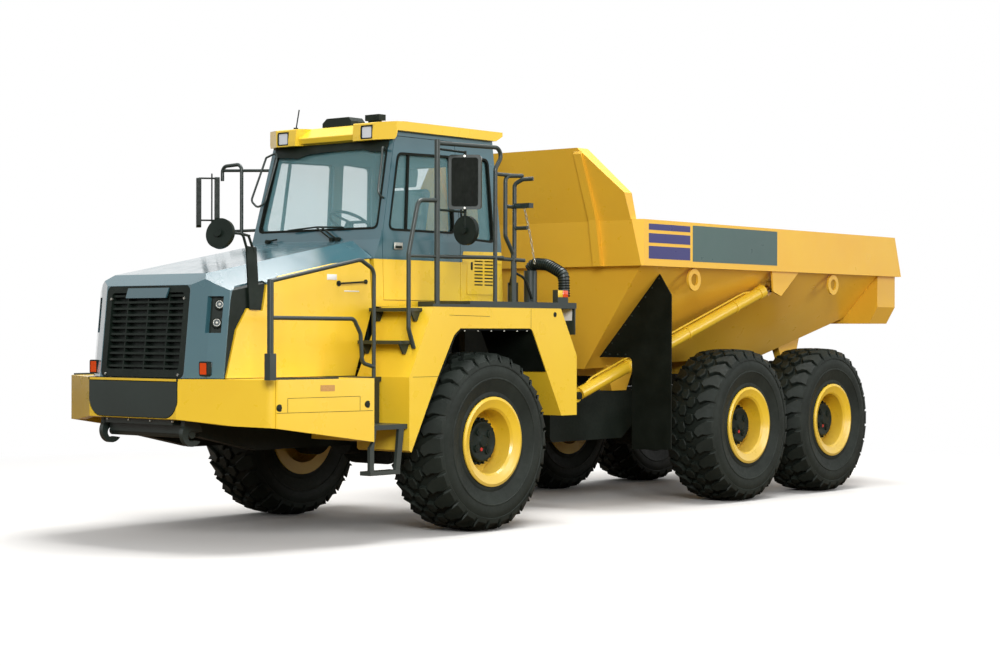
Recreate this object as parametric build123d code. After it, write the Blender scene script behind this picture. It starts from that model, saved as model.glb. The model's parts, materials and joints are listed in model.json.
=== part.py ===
"""Articulated dump truck, three axles, built as separate pieces.

Millimetres. +X forward, +Y left, +Z up. The origin is on the ground, under
the middle of the truck's length. Sizes that drive the truck come first, and
each piece has its own function below.
"""
from build123d import *
import os
from math import radians, sin, sqrt, tan

os.makedirs("parts", exist_ok=True)

# ---- running gear ---------------------------------------------------------
WHEELBASE = 4150            # front axle to middle axle
BOGIE_SPREAD = 1700         # middle axle to rear axle
TRACK = 2360                # middle of left tyre to middle of right tyre
TYRE_RADIUS = 790           # to the tips of the lugs
TYRE_WIDTH = 600            # over the bulge of the sidewalls
RIM_WIDTH = 550             # over the rim flanges
RIM_SEAT_RADIUS = 318       # the tyre's bead sits here
RIM_FLANGE_RADIUS = 396
RIM_BORE_RADIUS = 284       # inside of the barrel
HUB_RADIUS = 205
SPINDLE_RADIUS = 100
BEARING_GAP = 1
FRONT_OVERHANG = 2860       # front axle to the bumper's face
REAR_OVERHANG = 1550        # rear axle to the body's tail
PIVOT_OFFSET = 1550         # front axle back to the articulation pin
TIP_HINGE_OFFSET = 500      # rear axle back to the body's hinge

LENGTH = FRONT_OVERHANG + WHEELBASE + BOGIE_SPREAD + REAR_OVERHANG
FRONT_AXLE_X = LENGTH / 2 - FRONT_OVERHANG
MID_AXLE_X = FRONT_AXLE_X - WHEELBASE
REAR_AXLE_X = MID_AXLE_X - BOGIE_SPREAD
PIVOT_X = FRONT_AXLE_X - PIVOT_OFFSET
TIP_HINGE_X = REAR_AXLE_X - TIP_HINGE_OFFSET
AXLE_Z = TYRE_RADIUS
WHEEL_Y = TRACK / 2

# ---- frames ---------------------------------------------------------------
SIDE_Y = 1450               # outer face of fenders, side boxes and body rails
FRONT_RAIL_Y = 400
FRONT_RAIL_WIDTH = 120
FRONT_RAIL_TOP = 1080
FRONT_RAIL_BOTTOM = 760
FRONT_RAIL_FRONT = FRONT_AXLE_X + 2540
FRONT_RAIL_NOSE = 900       # underside at the front end
FRONT_RAIL_REAR = FRONT_AXLE_X - 600
HITCH_Z = 930
HITCH_TUBE_RADIUS = 180
HITCH_BARREL_RADIUS = 115
HITCH_PIN_RADIUS = 55
REAR_RAIL_Y = 400
REAR_RAIL_WIDTH = 140
REAR_RAIL_TOP = 1150
REAR_RAIL_BOTTOM = 910
GOOSENECK_BOTTOM = 660
REAR_FRAME_FRONT = PIVOT_X - 500
TIP_HINGE_Z = 1330
TIP_PIN_RADIUS = 45

# ---- front deck, fenders and steps -----------------------------------------
HOOD_HALF_WIDTH = 810
DECK_Z = 1375               # top of bumper and side boxes
BUMPER_BOTTOM = 1055        # under the dark middle pad
SIDE_BOX_REAR = FRONT_AXLE_X + 1520
SIDE_BOX_FRONT = FRONT_AXLE_X + 2460
PANEL_WALL = 45
FENDER_TOP = 1970
FENDER_INNER_Y = HOOD_HALF_WIDTH + 35
ARCH_TOP = 1787
STAIR_FOOT_X = FRONT_AXLE_X + 1093
STAIR_HEAD_X = FRONT_AXLE_X + 790
WALKWAY_Z = 2025            # top of the walkway plates
POST_FOOT_Z = 1995          # top of the pad under the front post

# ---- hood and cab ------------------------------------------------------------
HOOD_TOP_HALF_WIDTH = HOOD_HALF_WIDTH - 240
HOOD_REAR = FRONT_AXLE_X + 870
COVER_REAR = HOOD_REAR + 35     # side covers stop short of the hood
NOSE_HALF_WIDTH = HOOD_HALF_WIDTH - 286
HOOD_REAR_TOP = 2550
HOOD_SLOPE = 0.189          # drop per length, towards the front
NOSE_LEAN = 0.104           # the nose leans back, length per height
NOSE_FRONT = FRONT_AXLE_X + 2765
NOSE_TOP = 2150
SHELL_WALL = 35
GRILLE_HALF_WIDTH = NOSE_HALF_WIDTH - 8
GRILLE_BOTTOM = 1379
GRILLE_TOP = 2130
CAB_HALF_WIDTH = HOOD_HALF_WIDTH - 10
CAB_BOTTOM = 1975
CAB_WAIST = 2390            # top of the lower cab
CAB_TOP = 3530
CAB_ROOF_HALF_WIDTH = CAB_HALF_WIDTH - 50
CAB_WALL = 60
PANEL_GAP = 6

# ---- dump body ---------------------------------------------------------------
BODY_FRONT = PIVOT_X - 630  # crease of the front wall
BODY_TAIL = REAR_AXLE_X - REAR_OVERHANG
RAIL_TOP = 2850
RAIL_BOTTOM = 2400
RAIL_WIDTH = 150
GUARD_TOP = 3540
GUARD_SHOULDER = 3100
GUARD_HALF_WIDTH = 930
FLOOR_FRONT_Z = 1380        # underside at the front
FLOOR_REAR_Z = 1495         # underside where the tail starts to rise
TAIL_Z = 1935               # underside at the tail
SIDE_SLOPE = 0.891          # sideways per height, of the sloping sides
SIDE_FOOT_Y = 459           # edge of the floor's underside
PLATE = 60                  # side and front wall
FLOOR_PLATE = 100
EYE_Y = SIDE_Y - 58         # lifting eyes under the body's rails
EYE_Z = RAIL_BOTTOM - 118
EYE_RADIUS = 60
FLAP_X = PIVOT_X - 1195
FLAP_THICKNESS = 14

# ---- hoist and steering cylinders ---------------------------------------------
HOIST_LOWER = (PIVOT_X - 550, 750, 1130)
HOIST_UPPER = (PIVOT_X - 3210, 1330, 2245)
HOIST_BARREL_RADIUS = 62
HOIST_ROD_RADIUS = 40
HOIST_EYE_RADIUS = 65
HOIST_EYE_WIDTH = 56
HOIST_PIN_RADIUS = 32
STEER_FRONT = (PIVOT_X + 850, 400, HITCH_Z)
STEER_REAR = (PIVOT_X - 90, 255, HITCH_Z)
STEER_BARREL_RADIUS = 50
STEER_ROD_RADIUS = 28
STEER_EYE_RADIUS = 55
TUBE_RADIUS = 19            # guard frames and hoops
RAIL_RADIUS = 17            # lighter rails
RAIL_Y = SIDE_Y - 50        # guard rail along the walkway
DECK_RAIL_Y = SIDE_Y - 120  # rail on the side box


# ---- shaping helpers -----------------------------------------------------------
def outline(corners):
    """Edges of a closed outline in its own plane; a corner is (u, v) or (u, v, radius)."""
    count = len(corners)
    points = [Vector(c[0], c[1]) for c in corners]
    spans = []
    for i, corner in enumerate(corners):
        point, radius = points[i], corner[2] if len(corner) > 2 else 0
        if not radius:
            spans.append((point, None, point))
            continue
        back = (points[i - 1] - point).normalized()
        on = (points[(i + 1) % count] - point).normalized()
        half = radians(back.get_angle(on)) / 2
        centre = point + (back + on).normalized() * (radius / sin(half))
        middle = centre - (back + on).normalized() * radius
        cut = radius / tan(half)
        spans.append((point + back * cut, middle, point + on * cut))
    return spans


def face_of(corners, place):
    """Flat face of an outline; place turns (u, v) into a point in space."""
    spans = outline(corners)
    edges = []
    for i, (start, middle, end) in enumerate(spans):
        if middle is not None:
            edges.append(ThreePointArc(place(start), place(middle), place(end)))
        following = spans[(i + 1) % len(spans)][0]
        if (following - end).length > 1e-6:
            edges.append(Line(place(end), place(following)))
    return make_face(edges)


def prism_xz(corners, y_low, y_high):
    """Side-view outline (x, z) run from y_low to y_high."""
    depth = y_high - y_low
    face = face_of(corners, lambda p: (p.X, y_low, p.Y))
    return extrude(face, amount=depth, dir=(0, 1, 0))


def run(face, vector):
    """Face pushed along any vector."""
    push = Vector(*vector)
    return Solid.extrude(face.faces()[0], push)


def prism_yz(corners, x_low, x_high, rise=0):
    """Front-view outline (y, z) run from x_low to x_high, rising by rise per length."""
    face = face_of(corners, lambda p: (x_low, p.X, p.Y))
    length = x_high - x_low
    return run(face, (length, 0, length * rise))


def prism_xy(corners, z_low, z_high, lean=0):
    """Plan outline (x, y) run from z_low to z_high, moving by lean along X per height."""
    face = face_of(corners, lambda p: (p.X, p.Y, z_low))
    height = z_high - z_low
    return run(face, (height * lean, 0, height))


def box(x_low, x_high, y_low, y_high, z_low, z_high):
    """Box between two corners."""
    size = (x_high - x_low, y_high - y_low, z_high - z_low)
    centre = ((x_low + x_high) / 2, (y_low + y_high) / 2, (z_low + z_high) / 2)
    return Pos(*centre) * Box(*size)


def rod(start, end, radius):
    """Round bar from one point to another."""
    first, last = Vector(*start), Vector(*end)
    line = last - first
    plane = Plane(origin=first, z_dir=line)
    return extrude(plane * Circle(radius), amount=line.length)


def ring(start, end, outer, inner):
    """Round tube from one point to another."""
    return rod(start, end, outer) - rod(start, end, inner)


def tube(points, radius=TUBE_RADIUS, bend=90):
    """Bent tube through the points, with one bend radius."""
    if len(points) == 2:
        return rod(points[0], points[1], radius)
    path = FilletPolyline(*points, radius=bend)
    section = Plane(origin=path @ 0, z_dir=path % 0) * Circle(radius)
    return sweep(section, path=path)


def turned(section, x, y, z, side):
    """Section (radius, distance outboard) turned about the wheel's axis."""
    face = face_of(section, lambda p: (x + p.X, y + side * p.Y, z))
    return revolve(face, Axis((x, y, z), (0, 1, 0)), 360)


def other_side(shape):
    """The same piece on the right side."""
    return mirror(shape, Plane.XZ)


def both(shape):
    """A left piece with its twin on the right."""
    return Compound(children=[*flat(shape), *flat(other_side(shape))])


def flat(shape):
    """Single solids of a shape."""
    return list(shape.solids())


def joined(pieces):
    """Pieces of one part fused together."""
    whole = pieces[0]
    for piece in pieces[1:]:
        whole = whole + piece
    return whole


def group(*shapes):
    """Solids of several shapes kept apart in one node."""
    solids = []
    for shape in shapes:
        solids.extend(flat(shape))
    return Compound(children=solids)


def ahead(distance):
    """X at a distance ahead of the front axle."""
    return FRONT_AXLE_X + distance


def save(name, shape):
    """Write one node."""
    export_step(shape, f"parts/{name}.step")


# ---- wheels ------------------------------------------------------------------
def wheel_section():
    """Rim, disc and hub as (radius, distance outboard of the tyre's middle)."""
    flange = RIM_WIDTH / 2
    bore = SPINDLE_RADIUS + BEARING_GAP
    return [
        (0, 95), (58, 95), (62, 60), (HUB_RADIUS, 60), (HUB_RADIUS + 5, 45),
        (RIM_BORE_RADIUS, 45), (RIM_BORE_RADIUS, 232), (300, 252), (340, 268),
        (372, flange + 8), (RIM_FLANGE_RADIUS, flange), (RIM_FLANGE_RADIUS, flange - 13),
        (RIM_SEAT_RADIUS, flange - 25), (RIM_SEAT_RADIUS, 25 - flange),
        (RIM_FLANGE_RADIUS, 13 - flange), (RIM_FLANGE_RADIUS, -flange),
        (RIM_BORE_RADIUS, -flange), (RIM_BORE_RADIUS, 10), (160, 10), (150, -150),
        (bore, -150), (bore, 35), (0, 35)]


def tyre_section():
    """Tyre wall as (radius, distance outboard), hollow inside."""
    bead = RIM_WIDTH / 2 - 26
    bulge = TYRE_WIDTH / 2
    seat = RIM_SEAT_RADIUS + 1
    half = [
        (seat, bead), (400, bead), (430, bulge - 22), (560, bulge), (700, bulge - 20),
        (752, bulge - 45), (TYRE_RADIUS, bulge - 62)]
    hollow = [(TYRE_RADIUS - 75, 190), (560, bulge - 50), (400, bead - 50), (seat, bead - 60)]
    outer = half + [(r, -y) for r, y in reversed(half)]
    inner = [(r, -y) for r, y in reversed(hollow)] + hollow
    return outer + inner


def make_wheels():
    """Six wheels, each a rim with its hub and a tyre on it."""
    rows = (("front", FRONT_AXLE_X), ("middle", MID_AXLE_X), ("rear", REAR_AXLE_X))
    for row, x in rows:
        for side_name, side in (("left", 1), ("right", -1)):
            y = side * WHEEL_Y
            save(f"wheel_{row}_{side_name}", turned(wheel_section(), x, y, AXLE_Z, side))
            save(f"tyre_{row}_{side_name}", turned(tyre_section(), x, y, AXLE_Z, side))


def axle(x, pot_radius=255):
    """Live axle: beam, differential case and the spindles in the hubs."""
    reach = WHEEL_Y + 30
    beam = rod((x, -880, AXLE_Z), (x, 880, AXLE_Z), 115)
    spindle = rod((x, -reach, AXLE_Z), (x, reach, AXLE_Z), SPINDLE_RADIUS)
    case = rod((x, -190, AXLE_Z), (x, 190, AXLE_Z), pot_radius)
    cone = rod((x, 0, AXLE_Z), (x + 420, 0, AXLE_Z), 150)
    brakes = joined([rod((x, side * 720, AXLE_Z), (x, side * 880, AXLE_Z), 200)
                     for side in (1, -1)])
    return joined([beam, spindle, case, cone, brakes])


# ---- front frame ---------------------------------------------------------------
def front_chassis():
    """Two rails, cross members, axle tower and the forks that hold the hitch pin."""
    inner = FRONT_RAIL_Y - FRONT_RAIL_WIDTH / 2
    outer = FRONT_RAIL_Y + FRONT_RAIL_WIDTH / 2
    pieces = []
    axle_top = AXLE_Z + 145
    rail = [(ahead(1900), FRONT_RAIL_BOTTOM), (FRONT_RAIL_FRONT, FRONT_RAIL_NOSE),
            (FRONT_RAIL_FRONT, FRONT_RAIL_TOP),
            (ahead(400), FRONT_RAIL_TOP), (ahead(300), FRONT_RAIL_TOP + 100),
            (ahead(-300), FRONT_RAIL_TOP + 100), (ahead(-400), FRONT_RAIL_TOP),
            (FRONT_RAIL_REAR, FRONT_RAIL_TOP), (FRONT_RAIL_REAR, FRONT_RAIL_BOTTOM),
            (ahead(-330), FRONT_RAIL_BOTTOM), (ahead(-260), axle_top), (ahead(260), axle_top),
            (ahead(330), FRONT_RAIL_BOTTOM)]
    for side in (1, -1):
        low, high = sorted((side * inner, side * outer))
        pieces.append(prism_xz(rail, low, high))
        pieces.append(box(ahead(-130), ahead(130), low, high, FRONT_RAIL_TOP + 90, 1300))
    # cross members: x, half depth along x, z low, z high
    cross = ((FRONT_RAIL_FRONT - 60, 60, FRONT_RAIL_NOSE + 20, FRONT_RAIL_TOP),
             (ahead(1500), 60, FRONT_RAIL_BOTTOM, 960),
             (FRONT_RAIL_REAR, 40, 620, 1250))
    for x, half, low, high in cross:
        pieces.append(box(x - half, x + half, -outer, outer, low, high))
    pieces.append(box(ahead(-130), ahead(130), -700, 700, 1290, 1400))
    for z in (FORK_LOW, FORK_HIGH):
        plate = prism_xy([(FRONT_RAIL_REAR + 30, -330), (PIVOT_X - 20, -140),
                          (PIVOT_X - 20, 140), (FRONT_RAIL_REAR + 30, 330)], z - 35, z + 35)
        nose = rod((PIVOT_X, 0, z - 35), (PIVOT_X, 0, z + 35), 150)
        pieces += [plate, nose]
    pieces.append(rod((PIVOT_X, 0, FORK_LOW - 60), (PIVOT_X, 0, FORK_HIGH + 60),
                      HITCH_PIN_RADIUS))
    for side in (1, -1):
        x, y, z = STEER_FRONT
        for level in (-1, 1):
            start, end = sorted((z + level * 58, z + level * 88))
            pieces.append(box(x, FRONT_RAIL_REAR, *sorted((side * (y - 60), side * (y + 60))),
                              start, end))
            pieces.append(rod((x, side * y, start), (x, side * y, end), 60))
        pieces.append(rod((x, side * y, z - 100), (x, side * y, z + 100), 24))
    # deck brackets under the side boxes and the cab's feet
    foot_top = CAB_BOTTOM - 2
    for side in (1, -1):
        for x, reach in ((1660, 900), (2340, 900)):
            pieces.append(box(ahead(x - 40), ahead(x + 40), *sorted((side * (outer - 10), side * reach)),
                              1000, FRONT_RAIL_TOP))
            pieces.append(box(ahead(x - 40), ahead(x + 40), *sorted((side * (reach - 60), side * reach)),
                              1000, DECK_Z - PANEL_WALL - 1))
        for x in (-520, 640):
            post = sorted((side * 550, side * 640))
            pieces.append(box(ahead(x - 40), ahead(x + 40), *sorted((side * (outer - 10), side * 640)),
                              1000, FRONT_RAIL_TOP))
            pieces.append(box(ahead(x - 40), ahead(x + 40), *post, 1000, foot_top))
            arm = sorted((side * 550, side * (FENDER_INNER_Y - 1)))
            pieces.append(box(ahead(x - 40), ahead(x + 40), *arm, foot_top - 130, foot_top - 50))
        pieces.append(box(ahead(-520), ahead(640), *sorted((side * 550, side * 640)),
                          foot_top - 130, foot_top - 50))
    return joined(pieces)


FORK_LOW = HITCH_Z - 290
FORK_HIGH = HITCH_Z + 290


def front_axle():
    """Front axle with its trailing arms and two suspension struts."""
    pieces = [axle(FRONT_AXLE_X)]
    for side in (1, -1):
        y = side * 600
        low, high = sorted((side * 540, side * 660))
        pieces.append(box(ahead(-60), ahead(620), low, high, AXLE_Z - 70, AXLE_Z + 70))
        pieces.append(rod((ahead(600), side * 470, AXLE_Z), (ahead(600), side * 670, AXLE_Z), 80))
        pieces.append(rod((ahead(0), y, AXLE_Z + 50), (ahead(0), y, 1285), 60))
        pieces.append(rod((ahead(0), y, AXLE_Z + 210), (ahead(0), y, 1285), 85))
    return joined(pieces)


def engine_block():
    """The engine as one plain block at its place and size."""
    return box(ahead(980), ahead(2200), -330, 330, 1090, 1960)


def hitch():
    """Articulation block: barrel on the hitch pin and the tube the rear frame turns on."""
    low, high = FORK_LOW + 41, FORK_HIGH - 41
    barrel = rod((PIVOT_X, 0, low), (PIVOT_X, 0, high), HITCH_BARREL_RADIUS)
    web = box(PIVOT_X - 205, PIVOT_X, -100, 100, low + 40, high - 40)
    shaft = rod((PIVOT_X - 210, 0, HITCH_Z), (PIVOT_X - 760, 0, HITCH_Z), HITCH_TUBE_RADIUS)
    flange = rod((PIVOT_X - 200, 0, HITCH_Z), (PIVOT_X - 240, 0, HITCH_Z), 235)
    stop = rod((PIVOT_X - 706, 0, HITCH_Z), (PIVOT_X - 760, 0, HITCH_Z), 225)
    arms = []
    x, y, z = STEER_REAR
    for level in (-1, 1):
        low_z, high_z = sorted((z + level * 38, z + level * 68))
        arms.append(prism_xy([(PIVOT_X - 200, -y - 20), (x + 70, -y - 20), (x + 70, -y + 90),
                              (PIVOT_X - 60, -90), (PIVOT_X - 60, 90), (x + 70, y - 90),
                              (x + 70, y + 20), (PIVOT_X - 200, y + 20)], low_z, high_z))
        for side in (1, -1):
            arms.append(rod((x, side * y, low_z), (x, side * y, high_z), STEER_EYE_RADIUS + 15))
    block = joined([barrel, web, shaft, flange, stop] + arms)
    bore = rod((PIVOT_X, 0, low - 1), (PIVOT_X, 0, high + 1), HITCH_PIN_RADIUS + BEARING_GAP)
    return block - bore


# ---- front bodywork --------------------------------------------------------------
def nose_plan(inset=0):
    """Plan of bumper and side boxes, left half first, as one outline."""
    left = [(ahead(FRONT_OVERHANG) - inset, 540), (ahead(2490) - inset, 1262 - inset, 110),
            (SIDE_BOX_REAR + inset, SIDE_Y - inset)]
    right = [(x, -y, *r) for x, y, *r in reversed(left)]
    return left + right


def deck_shell():
    """Bumper and side boxes together: top plate and skirt, open below."""
    side_bottom = [(ahead(FRONT_OVERHANG) + 10, BUMPER_BOTTOM), (ahead(2640), 1005),
                   (SIDE_BOX_FRONT, 990), (SIDE_BOX_REAR - 10, 850), (SIDE_BOX_REAR - 10, DECK_Z),
                   (ahead(FRONT_OVERHANG) + 10, DECK_Z)]
    outer = prism_xy(nose_plan(), 800, DECK_Z) & prism_xz(side_bottom, -1500, 1500)
    inner = prism_xy(nose_plan(PANEL_WALL), 700, DECK_Z - PANEL_WALL)
    shell = outer - inner
    well = box(SIDE_BOX_REAR - 10, ahead(2420), -(HOOD_HALF_WIDTH - 40), HOOD_HALF_WIDTH - 40,
               800, DECK_Z + 10)
    return shell - well


def make_deck():
    """Bumper with its black centre and tow hooks, and the two side boxes."""
    shell = deck_shell()
    cut = SIDE_BOX_FRONT
    front = ahead(FRONT_OVERHANG)
    pad_view = [(-PAD_HALF, DECK_Z - 19), (-PAD_HALF, BUMPER_BOTTOM, 150), (PAD_HALF, BUMPER_BOTTOM, 150),
                (PAD_HALF, DECK_Z - 19)]
    pad_space = prism_yz(pad_view, ahead(2700), front + 50)
    save("front_bumper", (shell & box(cut + 3, front + 10, -1500, 1500, 700, 1400)) - pad_space)
    boxes = shell & box(SIDE_BOX_REAR - 10, cut - 3, -1500, 1500, 700, 1400)
    save("side_boxes", group(boxes))
    pad = prism_yz(shrink(pad_view, PANEL_GAP), ahead(2705), front)
    under = box(ahead(2700), ahead(2790), -420, 420, BUMPER_BOTTOM - 55, BUMPER_BOTTOM + 20)
    beam = box(FRONT_RAIL_FRONT + 1, ahead(2710), -460, 460, 930, BUMPER_BOTTOM)
    bar = rod((ahead(2650), -500, 925), (ahead(2650), 500, 925), 34)
    save("tow_beam", joined([pad, under, beam, bar, tow_hook(), other_side(tow_hook())]))


PAD_HALF = 552


def tow_hook():
    """C-shaped plate under the pad, open to the rear."""
    x, y, z = ahead(2668), 500, 930
    outer = rod((x, y - 22, z), (x, y + 22, z), 105)
    eye = rod((x + 4, y - 30, z - 18), (x + 4, y + 30, z - 18), 44)
    slot = prism_xz([(x + 5, z - 50), (x - 160, z - 75), (x - 160, z + 5), (x + 5, z + 26)],
                    y - 30, y + 30)
    neck = box(x - 60, x + 85, y - 22, y + 22, z + 40, BUMPER_BOTTOM + 30)
    return joined([outer - eye - slot, neck])


def make_fenders():
    """Front fenders over the arches, with the stair wall ahead of the wheel."""
    profile = [(STAIR_FOOT_X, 760), (ahead(1066), 744), (ahead(730), DECK_Z),
               (ahead(522), 1731, 120), (ahead(438), ARCH_TOP), (ahead(-545), ARCH_TOP, 60),
               (ahead(-978), 990), (ahead(-1208), 990), (ahead(-1206), 1540),
               (ahead(-969), FENDER_TOP), (STAIR_HEAD_X, FENDER_TOP), (STAIR_FOOT_X, DECK_Z)]
    fender = prism_xz(profile, FENDER_INNER_Y, SIDE_Y)
    save("fenders", both(fender))


def stair_wall_x(z):
    """Where the leaning stair wall stands at a height."""
    return STAIR_FOOT_X + (STAIR_HEAD_X - STAIR_FOOT_X) * (z - DECK_Z) / (FENDER_TOP - DECK_Z)


def access_steps():
    """Two treads on each stair wall and a hanging step under each side."""
    gap = 1
    treads = []
    for z, depth in ((1667, 150), (1945, 150)):
        back = [(stair_wall_x(z + 15) + gap, z + 15), (stair_wall_x(z - 100) + gap, z - 100)]
        tread = box(stair_wall_x(z - 15) + gap, stair_wall_x(z) + depth, 850, 1340, z - 15, z + 15)
        tip = stair_wall_x(z) + depth - 20
        web = [*back, (stair_wall_x(z - 100) + 25, z - 100), (tip, z - 10), (tip, z + 15)]
        sides = [prism_xz(web, y, y + 20) for y in (FENDER_INNER_Y + 25, SIDE_Y - 150)]
        treads.append(joined([tread] + sides))
    front, back = SIDE_BOX_REAR - 10 - gap, STAIR_FOOT_X + gap
    tread = box(back, front, 1090, 1430, 945, 985)
    low = box(back + 88, front + 34, 1310, 1430, 570, 605)
    straps = [prism_xz([(back + 30, 985), (back + 95, 985), (back + 140, 570), (back + 90, 570)], 1395, 1425),
              prism_xz([(front - 50, 985), (front - 2, 985), (front - 2, 842), (front + 34, 800),
                        (front + 34, 570), (front - 15, 570), (front - 15, 795)], 1395, 1425)]
    floor = box(back, front, HOOD_HALF_WIDTH - 30, 1130, DECK_Z - 40, DECK_Z)
    hanger = box(back + 20, front - 20, 1085, 1125, 945, DECK_Z)
    plain = joined([tread, floor, hanger])
    return group(joined([plain, low] + straps), other_side(plain), *[both(t) for t in treads])


def walkway():
    """Dark plates on the fenders and behind the cab."""
    side_plate = box(ahead(-1215), ahead(300), FENDER_INNER_Y - 15, SIDE_Y - 10,
                     FENDER_TOP + 1, WALKWAY_Z)
    front_pad = box(ahead(290), ahead(785), RAIL_Y - 90, SIDE_Y - 10, FENDER_TOP + 1, POST_FOOT_Z)
    rear = box(ahead(-1215), ahead(-945), -FENDER_INNER_Y, FENDER_INNER_Y, FENDER_TOP + 1, WALKWAY_Z)
    return joined([rear, side_plate, other_side(side_plate), front_pad])


def hood_outer(inset=0):
    """Outer form of nose, hood and side covers, or its inside with an inset."""
    half = HOOD_HALF_WIDTH - inset
    top_half = HOOD_TOP_HALF_WIDTH - inset * 0.4
    rear_top = HOOD_REAR_TOP - inset
    reach = ahead(3000) - HOOD_REAR
    section = [(-half, 600), (half, 600), (half, rear_top - 150), (top_half, rear_top),
               (-top_half, rear_top), (-half, rear_top - 150)]
    crown = prism_yz(section, HOOD_REAR - 1, HOOD_REAR + reach, rise=-HOOD_SLOPE)
    front = NOSE_FRONT - inset
    rear_cut = inset * 2
    face, cheek = NOSE_HALF_WIDTH - inset / 2, HOOD_HALF_WIDTH - 122 - inset / 2
    plan = [(front, -face), (front, face), (ahead(2684) - inset, cheek),
            (ahead(2600) - inset, half), (HOOD_REAR - 400, half),
            (HOOD_REAR - 400, -half), (ahead(2600) - inset, -half), (ahead(2684) - inset, -cheek)]
    nose = prism_xy(plan, DECK_Z - 5, 2700, lean=-NOSE_LEAN)
    top_front = NOSE_FRONT - NOSE_LEAN * (NOSE_TOP - DECK_Z) - inset
    silhouette = [(NOSE_FRONT + 50, DECK_Z + 5 - rear_cut), (NOSE_FRONT + 50, NOSE_TOP - 90 - inset),
                  (top_front + 6, NOSE_TOP - 20 - inset, 20), (ahead(2560) - inset, 2235 - inset, 60),
                  (HOOD_REAR - rear_cut, HOOD_REAR_TOP + 10 - inset),
                  (HOOD_REAR - rear_cut, DECK_Z + 5 - rear_cut)]
    return crown & nose & prism_xz(silhouette, -1000, 1000)


# edges on the hood's side, ahead of the front axle and up: the cover's and the cowl's
COVER_EDGE = [(2572, 1376), (2463, 1768), (2343, 1945), (2175, 1925), (2130, 2140)]
COWL_EDGE = [(2592, 1376), (2557, 1715), (2524, 2005), (2504, 2085), (2420, 2142), (2150, 2172)]


def cover_outline(gap=0):
    """Side cover seen from the side; the gap draws its edges in."""
    front = [(ahead(x) - gap, z) for x, z in COVER_EDGE]
    return front + [(ahead(1830), 2280 - gap), (COVER_REAR, CAB_WAIST + 2 - gap),
                    (COVER_REAR - 30, 1950), (COVER_REAR + 180, DECK_Z)]


def seal_outline(gap=0):
    """Dark strip between the nose cowl and the side cover, seen from the side."""
    cowl = [(ahead(x) - gap, z - gap) for x, z in COWL_EDGE[1:]]
    cover = [(ahead(x) + gap, z + gap) for x, z in COVER_EDGE[1:-1]]
    low = DECK_Z + 2
    return [(ahead(COWL_EDGE[0][0]) - gap, low), *cowl, (ahead(COVER_EDGE[-1][0]) + 12, 2130),
            *reversed(cover), (ahead(COVER_EDGE[0][0]) + gap, low)]


def make_hood():
    """Hood with the nose, two side covers, dark seals, bulkhead and the grille."""
    shell = hood_outer() - hood_outer(SHELL_WALL)
    side = (HOOD_HALF_WIDTH - SHELL_WALL - 1, HOOD_HALF_WIDTH + 90)
    hole = [(ahead(x), z) for x, z in COWL_EDGE] + [
        (ahead(2121), 2143), (ahead(1830), 2282), (COVER_REAR, CAB_WAIST + 4),
        (HOOD_REAR - 40, CAB_WAIST + 4), (HOOD_REAR - 40, DECK_Z - 20), (ahead(COWL_EDGE[0][0]), DECK_Z - 20)]
    zone = prism_xz(hole, *side)
    covers = shell & prism_xz(cover_outline(PANEL_GAP), *side)
    seal = (hood_outer(8) - hood_outer(SHELL_WALL)) & prism_xz(seal_outline(PANEL_GAP), *side)
    hood = shell - zone - other_side(zone)
    opening = prism_yz([(-GRILLE_HALF_WIDTH, GRILLE_BOTTOM, 50), (GRILLE_HALF_WIDTH, GRILLE_BOTTOM, 50),
                        (GRILLE_HALF_WIDTH, GRILLE_TOP, 50), (-GRILLE_HALF_WIDTH, GRILLE_TOP, 50)],
                       ahead(2500), ahead(2900))
    hood = hood - opening
    recess = box(ahead(2480), ahead(2760), *LAMP_RECESS_Y, *LAMP_RECESS_Z)
    liner = (hood_outer(SHELL_WALL + 1) - hood_outer(SHELL_WALL + 12)) & box(
        ahead(2480), ahead(2760), LAMP_RECESS_Y[0] - 10, LAMP_RECESS_Y[1] - 2,
        LAMP_RECESS_Z[0] - 10, LAMP_RECESS_Z[1] + 10)
    hood = hood - recess - other_side(recess)
    pocket = box(ahead(2600), ahead(2720), *INDICATOR_Y, *INDICATOR_Z)
    hood = hood - pocket - other_side(pocket)
    save("engine_hood", hood)
    save("side_covers", both(covers))
    firewall = box(HOOD_REAR - 18, HOOD_REAR - 2, 60 - HOOD_HALF_WIDTH, HOOD_HALF_WIDTH - 60,
                   1450, CAB_WAIST - 30)
    save("nose_trim", group(both(seal), both(liner), firewall))
    save("grille", grille())


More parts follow.
